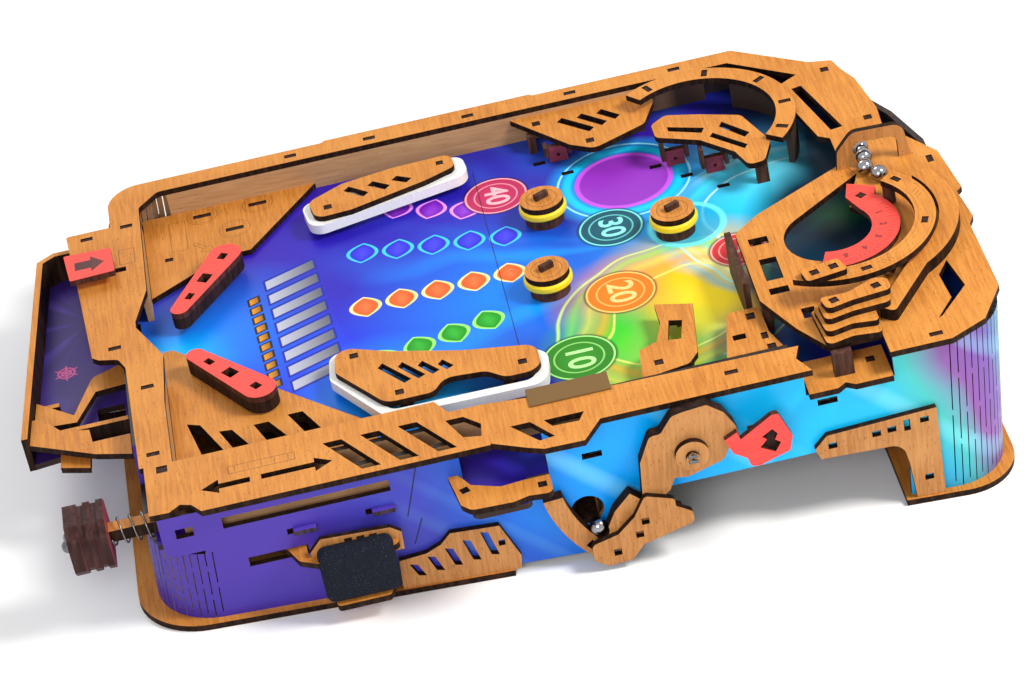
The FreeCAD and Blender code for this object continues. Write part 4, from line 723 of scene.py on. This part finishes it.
def fieldMaterial():
    # the washes and soft rings lie on wavy axes, all that is drawn crisply on straight ones
    material, tree, skin, where = sheetOf("fieldPrint")
    x, y = deckAxes(tree, where)
    warp = minus(tree, speckle(tree, where.outputs["Object"], 12.0, 2.0, 0.5), 0.5)
    wavy = [calc(tree, "MULTIPLY_ADD", warp, sway, axis) for sway, axis in zip(fieldLook["warp"], (x, y))]
    tone = mottled(tree, wavy[1], 60, 260, inks["violet"], inks["deepBlue"])
    for wash in lowWashes:
        tone = glow(tree, tone, *wavy, *wash)
    tone = rayBurst(tree, tone, *wavy, (-8, 262), 9.0, 60, 190, (0.02, 0.45, 1.0), 0.55)
    for wash in highWashes:
        tone = glow(tree, tone, *wavy, *wash)
    for ring in softRings:
        tone = ringMark(tree, tone, *wavy, *ring)
    # painted shade first, then the last few print washes, on straight axes
    for wash in shadeWashes:
        tone = glow(tree, tone, x, y, *wash)
    for ring in crispRings:
        tone = ringMark(tree, tone, x, y, *ring)
    for row in lampRows:
        tone = lampRow(tree, tone, x, y, row | lampPane)
    for row in barRows:
        tone = barRow(tree, tone, x, y, row | barSlant)
    for disc in scoreDiscs:
        tone = discMark(tree, tone, x, y, disc)
    tone = lineMark(tree, tone, x, y, *fieldLook["seam"], 0.16, inks["seam"], 0.9)
    deep = tree.nodes.new("ShaderNodeGamma")
    feed(tree, deep.inputs["Color"], tone)
    deep.inputs["Gamma"].default_value = fieldLook["gamma"]
    grain = speckle(tree, where.outputs["Object"], 1500.0, 2.0)
    tone = blendColour(tree, edgeShare(tree, where, deckAxis), deep.outputs["Color"], inks["cut"])
    coated(tree, skin, tone, between(tree, grain, 0.3, 0.7, 0.28, 0.38), 0.16)
    lacquered(skin, 0.02)
    bumped(tree, skin, grain, 0.00003, 0.3)
    return material


# the tray's print, its purple ground kept dark as painted shade inside the tray
star = {"place": (-20, -34), "reach": 6.2, "rings": (2.2, 4.0), "ringInk": (0.75, 0.10, 0.30),
        "rayInk": (0.75, 0.12, 0.34)}


def trayMaterial():
    material, tree, skin, where = sheetOf("trayPrint")
    x, y = deckAxes(tree, where)
    mist = speckle(tree, where.outputs["Object"], 22.0, 3.0)
    # painted shade: the purple ground is darkened for the shade that fills the tray
    tone = blendColour(tree, mist, (0.018, 0.008, 0.080), (0.060, 0.024, 0.240))
    tone = rayBurst(tree, tone, x, y, (-60, -20), 7.0, 20, 90, (0.12, 0.06, 0.50), 0.5)
    for radius in star["rings"]:
        tone = ringMark(tree, tone, x, y, star["place"], radius, 0.5, star["ringInk"], 0.3, 0.9)
    for turn in (0, 60, 120):
        ends = [aroundAt(star["place"], reach, turn) for reach in (-star["reach"], star["reach"])]
        tone = lineMark(tree, tone, x, y, *ends, 0.35, star["rayInk"], 0.8)
    tone = blendColour(tree, edgeShare(tree, where, deckAxis), tone, inks["cut"])
    coated(tree, skin, tone, between(tree, mist, 0.3, 0.7, 0.34, 0.46), 0.2)
    bumped(tree, skin, speckle(tree, where.outputs["Object"], 1500.0, 2.0), 0.00003, 0.3)
    return material


# the case's print
sideLook = {
    "long": 420.0,
    "beamTint": (0.30, 0.85, 1.0),
    "footTint": (0.02, 0.02, 0.30),
    "seamInk": (0.008, 0.004, 0.020),
    "seams": (((118.3, -4.0), (109.6, -31.0)), ((115.5, -33.5), (110.0, -46.5))),
    "stops": [
        (0.00, (0.060, 0.026, 0.290)), (0.22, (0.066, 0.032, 0.350)), (0.34, (0.040, 0.050, 0.430)),
        (0.41, (0.008, 0.130, 0.660)), (0.50, (0.000, 0.300, 0.900)), (0.64, (0.000, 0.420, 0.940)),
        (0.76, (0.004, 0.480, 0.860)), (0.83, (0.010, 0.470, 0.780)), (0.875, (0.060, 0.500, 0.480)),
        (0.915, (0.240, 0.085, 0.330)), (0.96, (0.150, 0.070, 0.360)), (1.00, (0.020, 0.300, 0.440)),
    ],
}


def sideMaterial():
    # printed outside, bare ply inside, darkened round the loop as painted shade
    material, tree, skin, where = sheetOf("sidePrint")
    y, level = deckAxes(tree, where, 3)[1:]
    height = dotWith(tree, where.outputs["Object"], (0, 0, 1000.0))
    wave = minus(tree, speckle(tree, where.outputs["Object"], 11.0, 2.0), 0.5)
    along = plus(tree, calc(tree, "MULTIPLY_ADD", wave, 50.0, y), times(tree, height, 0.45))
    ramp = tree.nodes.new("ShaderNodeValToRGB")
    feed(tree, ramp.inputs["Fac"], between(tree, along, 0.0, sideLook["long"]))
    stops = ramp.color_ramp.elements
    for index in (0, -1):
        stops[index].position = sideLook["stops"][index][0]
        stops[index].color = (*sideLook["stops"][index][1], 1)
    for share, colour in sideLook["stops"][1:-1]:
        stops.new(share).color = (*colour, 1)
    slant = plus(tree, y, times(tree, height, 1.1))
    ridge = calc(tree, "SINE", times(tree, slant, 0.085))
    finer = calc(tree, "SINE", calc(tree, "MULTIPLY_ADD", slant, 0.21, 1.0))
    beam = between(tree, plus(tree, ridge, times(tree, finer, 0.5)), 0.6, 1.5)
    beam = times(tree, times(tree, beam, between(tree, y, 90.0, 170.0)), 0.30)
    tone = blendColour(tree, beam, ramp.outputs["Color"], sideLook["beamTint"])
    tone = blendColour(tree, between(tree, height, 26, 6, 0.0, 0.30), tone, sideLook["footTint"])
    for ends in sideLook["seams"]:
        tone = lineMark(tree, tone, y, level, *ends, 0.28, sideLook["seamInk"], 0.92)
    outward = dotWith(tree, where.outputs["Normal"], where.outputs["Object"])
    # painted shade: the bare inside goes dark round the loop, where shade falls
    bare = mottled(tree, y, plyLook["loopShadeFrom"], plyLook["loopShadeFull"], plyLook["bare"], plyLook["loopShade"])
    tone = mottled(tree, outward, 0.004, -0.004, tone, bare)
    edge = between(tree, facing(tree, where, upAxis), 0.6, 0.8)
    grain = speckle(tree, where.outputs["Object"], 1500.0, 2.0)
    rough = between(tree, grain, 0.3, 0.7, 0.30, 0.40)
    coated(tree, skin, blendColour(tree, edge, tone, charredEdge(tree, where)), rough, 0.26)
    lacquered(skin, 0.05)
    bumped(tree, skin, grain, 0.00003, 0.3)
    return material


fieldSkin = fieldMaterial()
traySkin = trayMaterial()
sideSkin = sideMaterial()
print("printed skins made")

# every node that isn't listed is plain deck ply
finishes = (
    (plyFlat, "base_plates"),
    (plySide, "side_foot_plates gate_hoop lift_channel lift_pivot lift_lever"),
    (ribBare, "cross_ribs ball_chutes"),
    (sideSkin, "panel_right_front panel_right_middle panel_right_rear panel_left_front panel_left_rear"),
    (sideSkin, "panel_back panel_front"),
    (fieldSkin, "playfield_boards"),
    (traySkin, "tray_floor"),
    (wallTan, "inner_walls"),
    (plyCap, "bumper_caps"),
    (plyApron, "aprons"),
    (plyCover, "return_cover"),
    (plyRim, "rim_front rim_start"),
    (darkPly, "bumper_posts support_posts"),
    (ringYellow, "bumper_rings"),
    (bandWhite, "slingshot_bands"),
    (redTop, "score_gauge flipper_left_top flipper_right_top"),
    (redSide, "lift_tab"),
    (redTab, "reset_slider"),
    (maroonSide, "target_left target_middle target_right"),
    (flipperCore, "flipper_left flipper_right"),
    (foamBlack, "pad_left pad_right"),
    (knobPly, "plunger_knob"),
    (wireSteel, "plunger_spring"),
    (ballSteel, "steel_balls lift_ball"),
)
finishOf = {name: skin for skin, names in finishes for name in names.split()}
for name, node in nodes.items():
    node.data.materials.clear()
    node.data.materials.append(finishOf.get(name, plyDeck))
print("finishes on", len(nodes), "nodes")


# helpers for the pieces
def finish(piece, material, body, place=None):
    # the mesh carries its place, the object stays at the origin
    if place is not None:
        piece.data.transform(place)
    piece.matrix_world = Matrix.Identity(4)
    piece.data.materials.clear()
    piece.data.materials.append(material)
    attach(piece, body)


def useModifier(piece, kind, **settings):
    modifier = piece.modifiers.new(kind.lower(), kind)
    for key, value in settings.items():
        setattr(modifier, key, value)
    bpy.context.view_layer.objects.active = piece
    bpy.ops.object.modifier_apply(modifier=modifier.name)


def rounded(piece, width, segments=2, **settings):
    useModifier(piece, "BEVEL", width=width / 1000, segments=segments, **settings)


def inEdit(*steps):
    bpy.ops.object.mode_set(mode="EDIT")
    bpy.ops.mesh.select_all(action="SELECT")
    for step, settings in steps:
        step(**settings)
    bpy.ops.object.mode_set(mode="OBJECT")


def started(name, add, **settings):
    bpy.ops.object.select_all(action="DESELECT")
    add(**settings)
    piece = bpy.context.object
    piece.name = name
    return piece


def startCube(name, size):
    piece = started(name, bpy.ops.mesh.primitive_cube_add, size=1)
    piece.scale = [v / 1000 for v in size]
    bpy.ops.object.transform_apply(location=False, rotation=False, scale=True)
    return piece


def joinAll(name, parts):
    bpy.ops.object.select_all(action="DESELECT")
    for part in parts:
        part.select_set(True)
    bpy.context.view_layer.objects.active = parts[0]
    bpy.ops.object.join()
    parts[0].name = name
    return parts[0]


def flatNumber(name, text, height, place):
    piece = started(name, bpy.ops.object.text_add)
    piece.data.body = text
    piece.data.size = height / 1000
    piece.data.align_x = "CENTER"
    piece.data.align_y = "CENTER"
    piece.data.extrude = 0.00002
    piece.data.bevel_depth = 0.00001
    piece.data.offset = 0.0003
    bpy.ops.object.convert(target="MESH")
    piece.data.transform(place)
    return piece


# tab ends that show in the square holes: plate level, then across, along, wide, high and turn of each
tabEnd = {"drop": 0.35, "deep": 2.2, "slack": 0.12, "round": 0.3}
coverHoles = [(*aroundAt(coverAt, 41.7, turn), 3, 5, turn) for turn in (124, 70, 8, -28)]
archAt = (leftX + 59, backY - 99)
archHoles = [(*aroundAt(archAt, 43, turn), 3, 6, turn + 90) for turn in (205, 165, 125, 90, 60)]
tabHoles = {
    "rims": (0, [
        (leftX + 37, -15, 3, 6), (rightX - 136, -7, 3, 6), (rightX - 99, 6, 3, 6), (leftX + 33, 5, 3, 6),
        (rightX - 46, 5, 3, 6), (leftX + 2.5, 90, 3, 6), (leftX + 2.5, 130, 3, 6), (leftX + 2.5, 180, 3, 6),
        (leftX + 2.5, 232, 3, 6), (leftX + 2.5, 285, 3, 6), (rightX - 33, 8, 5, 5), (rightX - 9, 262, 3, 6),
        (leftX + 34, backY - 31, 4, 4), (rightX - 187, backY - 21, 4, 4), (rightX - 3, backY - 33, 3, 6),
        (rightX - 100, backY - 3, 6, 3), (rightX - 140, backY - 2, 6, 3),
    ]),
    "aprons": (-15, [
        (leftX + 15, 41, 3, 9), (leftX + 15, 69, 3, 9), (leftX + 33, 56, 3, 9), (leftX + 48, 22, 3, 4),
    ]),
    "slings": (-6, [
        (leftX + 47, 103, 4, 4), (leftX + 30, 161, 3.5, 3.5), (rightX - 95, 101, 4, 4),
        (rightX - 61, 175, 4, 4), (rightX - 59, 118, 4, 4),
    ]),
    "deflector": (-5, [(leftX + 16, 212, 4, 4), (leftX + 42, 235, 4, 4)]),
    "brackets": (-9, [
        (rightX - 41, 234, 4, 4), (rightX - 60, 280, 5, 4), (rightX - 43, 283, 5, 3),
        (rightX - 34, 284.5, 4, 4),
    ]),
    "gauge": (3, [(rightX - 118, backY - 40, 4, 4, 35)]),
    "cover": (12, [*coverHoles, (rightX - 28, 314, 4, 4, 15), (rightX - 32, 334, 4, 4, 15)]),
    "strap": (15, [(rightX - 48, 310, 4, 4, 10), (rightX - 49.5, 319, 4, 4, 10)]),
    "arch": (3, archHoles),
    "endPlate": (-12, [(rightX - 12, backY - 62, 4, 4)]),
}
tabs = []
for top, holes in tabHoles.values():
    level = top - tabEnd["drop"] - tabEnd["deep"] / 2
    for x, y, wide, high, *turn in holes:
        size = (wide - tabEnd["slack"] * 2, high - tabEnd["slack"] * 2, tabEnd["deep"])
        tab = startCube("tabEnd", size)
        tab.data.transform(onDeckAt(x, y, level, *turn))
        tabs.append(tab)
tabPiece = joinAll("tabEnds", tabs)
rounded(tabPiece, tabEnd["round"])
finish(tabPiece, endGrain, "cabinet")
print("tab ends:", len(tabs))

# plain numbers on the score discs
for index, disc in enumerate(scoreDiscs, start=1):
    place = onDeckAt(*disc["place"], game["fieldLevel"])
    number = flatNumber(f"discNumber{index}", disc["number"], disc["radius"] * 1.05, place)
    finish(number, inkMaterial(f"discInk{index}", disc["rim"]), "cabinet")
print("disc numbers made")

# scale on the red gauge
gauge = {
    "count": 27, "first": 112.0, "step": -4.8, "radius": 29.6, "level": 3.02,
    "long": 3.0, "short": 1.8, "wide": 0.32, "thick": 0.08,
    "numberRadius": 24.0, "numberHigh": 4.2, "numberLevel": 3.03,
}
ticks = []
for index in range(gauge["count"]):
    angle = gauge["first"] + index * gauge["step"]
    reach = gauge["long"] if index % 5 == 0 else gauge["short"]
    tick = startCube("gaugeTick", (reach, gauge["wide"], gauge["thick"]))
    rounded(tick, 0.03, 1)
    spot = aroundAt(ringAt, gauge["radius"] - reach / 2, angle)
    tick.data.transform(onDeckAt(*spot, gauge["level"], angle))
    ticks.append(tick)
for index in range(5):
    angle = gauge["first"] + (index * 5 + 2.5) * gauge["step"]
    spot = aroundAt(ringAt, gauge["numberRadius"], angle)
    place = onDeckAt(*spot, gauge["numberLevel"], angle - 90)
    ticks.append(flatNumber("gaugeNumber", str(index + 1), gauge["numberHigh"], place))
finish(joinAll("gaugeScale", ticks), gaugeInk, "cabinet")
print("gauge scale made")

# knob bolts
plungerAt = {"across": rightX - 15.5, "level": -14.6}
bolt = {"radius": 3.15, "front": -38.1, "spots": ((-7, -2.8), (7, 2.8))}
upperHalf = {"plane_co": (0, 0, 0), "plane_no": (0, 0, 1), "use_fill": True, "clear_inner": True}
bolts = []
for across, lift in bolt["spots"]:
    head = started("knobBolt", bpy.ops.mesh.primitive_uv_sphere_add, segments=32, ring_count=20,
                   radius=bolt["radius"] / 1000)
    inEdit((bpy.ops.mesh.bisect, upperHalf))
    head.data.shade_smooth()
    spot = onDeckAt(plungerAt["across"] + across, bolt["front"], plungerAt["level"] + lift)
    head.data.transform(spot @ Matrix.Rotation(math.radians(90), 4, "X"))
    bolts.append(head)
finish(joinAll("knobBolts", bolts), boltSteel, "plunger")
print("knob bolts made")

# plunger spring, wound from thin wire
spring = {"radius": 6.0, "wire": 0.45, "turns": 3.2, "first": -19.2, "last": -1.4}
coil = started("plungerSpring", bpy.ops.mesh.primitive_circle_add, vertices=12,
               radius=spring["wire"] / 1000, rotation=(math.radians(90), 0, 0))
bpy.ops.object.transform_apply(rotation=True)
coil.data.transform(Matrix.Translation((spring["radius"] / 1000, 0, 0)))
useModifier(coil, "SCREW", angle=math.radians(360 * spring["turns"]), steps=110, render_steps=110,
            screw_offset=(spring["last"] - spring["first"]) / 1000, axis="Z", use_merge_vertices=False)
inEdit((bpy.ops.mesh.fill_holes, {"sides": 20}), (bpy.ops.mesh.normals_make_consistent, {"inside": False}))
coil.data.shade_smooth()
coilPlace = onDeckAt(plungerAt["across"], spring["first"], plungerAt["level"])
finish(coil, wireSteel, "plunger", coilPlace @ Matrix.Rotation(math.radians(-90), 4, "X"))
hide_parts("plunger_spring")
print("spring wound")

# foam pads on the flipper buttons, each on an upright face plate
foamPad = {"inner": 8.4, "outer": 16.2, "front": 67.0, "back": 101.0, "low": -57.9, "high": -28.5,
           "crown": 0.9, "round": 3.85}
facePlate = {
    "inner": 6.4, "thick": 2.6, "hole": (3.6, 2.3), "holes": [(82.0, -29.3), (87.5, -29.6), (93.0, -30.0)],
    "outline": [(64.5, -41), (64.5, -32), (70, -25.8), (101, -27.8), (105.6, -31.5), (105.2, -41)],
}
padEnds = [(foamPad["inner"], foamPad["outer"]), (foamPad["front"], foamPad["back"]),
           (foamPad["low"], foamPad["high"])]
padSize = [last - first for first, last in padEnds]
padMiddle = [(first + last) / 2 for first, last in padEnds]
for side, sign in (("right", 1), ("left", -1)):
    pad = startCube("foamPad" + side.title(), padSize)
    rounded(pad, foamPad["round"], 5)
    inEdit((bpy.ops.mesh.subdivide, {"number_cuts": 5}))
    for vertex in pad.data.vertices:
        share = [vertex.co[axis] / (padSize[axis] / 2000) for axis in range(3)]
        swell = (1 - share[1] ** 2) * (1 - share[2] ** 2)
        vertex.co.x += sign * foamPad["crown"] / 1000 * swell * max(0.0, min(1.0, share[0] * sign * 1.4))
    pad.data.shade_smooth()
    padPlace = onDeckAt(sign * (rightX + padMiddle[0]), padMiddle[1], padMiddle[2])
    finish(pad, foamBlack, "button_" + side, padPlace)
    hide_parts("pad_" + side)

    face = started("buttonFace" + side.title(), bpy.ops.mesh.primitive_circle_add, radius=0.01,
                   vertices=len(facePlate["outline"]), fill_type="NGON")
    for vertex, (along, level) in zip(face.data.vertices, facePlate["outline"]):
        vertex.co = (0, along / 1000, level / 1000)
    useModifier(face, "SOLIDIFY", thickness=facePlate["thick"] / 1000, offset=0)
    rounded(face, 0.2, limit_method="ANGLE")
    inEdit((bpy.ops.mesh.normals_make_consistent, {"inside": False}))
    faceX = rightX + facePlate["inner"] + facePlate["thick"]
    finish(face, plySide, "button_" + side, onDeckAt(sign * (faceX - facePlate["thick"] / 2), 0, 0))

    ends = []
    for along, level in facePlate["holes"]:
        end = startCube("buttonTab", (1.2, *facePlate["hole"]))
        end.data.transform(onDeckAt(sign * (faceX - 0.45), along, level))
        ends.append(end)
    faceTabs = joinAll("buttonTabs" + side.title(), ends)
    rounded(faceTabs, tabEnd["round"])
    finish(faceTabs, endGrain, "button_" + side)
print("foam pads made")

# two printed hooks that hold the lane's floor in the side panel
hook = {"out": 3.1, "long": 10.4, "thick": 2.6, "foot": 3.0, "deep": 2.6, "round": 0.35,
        "spots": ((59.3, -24.1), (94.8, -23.4))}
hooks = []
for front, level in hook["spots"]:
    arm = startCube("hookArm", (hook["out"], hook["long"], hook["thick"]))
    arm.data.transform(onDeckAt(rightX + 0.1 + hook["out"] / 2, front + hook["long"] / 2, level))
    foot = startCube("hookFoot", (hook["deep"], hook["foot"], hook["thick"]))
    foot.data.transform(onDeckAt(rightX - hook["deep"] / 2, front + hook["foot"] / 2, level))
    hooks += [arm, foot]
railHooks = joinAll("railHooks", hooks)
rounded(railHooks, hook["round"])
finish(railHooks, hookPly, "cabinet")
print("rail hooks made")

# dark sheet behind the lift tab's arrow window, standing in for the shade inside: painted shade
arrow = {"size": (0.5, 13.0, 15.0), "shift": (-1.0, 2.6, 0.2), "round": 0.2}
low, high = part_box("lift_tab")
tabMiddle = (deckPlace.inverted() @ ((low + high) / 2)) * 1000
shadeSheet = startCube("arrowShadeSheet", arrow["size"])
rounded(shadeSheet, arrow["round"])
finish(shadeSheet, endGrain, "ball_lift", onDeckAt(*(tabMiddle + Vector(arrow["shift"]))))

# two prongs at the pivot
prongLook = {"size": (2.6, 4.4, 1.9), "along": 237.0, "levels": (-25.35, -22.65), "inset": 0.6, "round": 0.5}
pivotTip = (deckPlace.inverted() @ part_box("lift_pivot")[1]).x * 1000
prongs = []
for level in prongLook["levels"]:
    prong = startCube("pivotProng", prongLook["size"])
    rounded(prong, prongLook["round"], 3)
    prong.data.shade_smooth()
    prong.data.transform(onDeckAt(pivotTip - prongLook["inset"], prongLook["along"], level))
    prongs.append(prong)
finish(joinAll("pivotProngs", prongs), boltSteel, "cabinet")
print("lift trim made")

# raw strip beside the lane's mouth
strip = {"size": (13.0, 37.0, 4.4), "place": (rightX - 22.8, 190.9, -1.2), "round": 0.3}
laneStrip = startCube("laneStrip", strip["size"])
rounded(laneStrip, strip["round"])
finish(laneStrip, rawBoard, "cabinet", onDeckAt(*strip["place"]))
print("lane strip made")

# floor
floor = started("floorPale", bpy.ops.mesh.primitive_plane_add, size=6, location=(0, 0, -0.0002))
bpy.ops.object.transform_apply(location=True)
floorMaterial, floorTree, floorSkin, floorWhere = sheetOf("floorPale")
floorGrain = speckle(floorTree, floorWhere.outputs["Object"], 30.0, 2.0)
coated(floorTree, floorSkin, blendColour(floorTree, floorGrain, (0.90, 0.90, 0.90), (0.92, 0.92, 0.92)), 0.9)
floor.data.materials.append(floorMaterial)
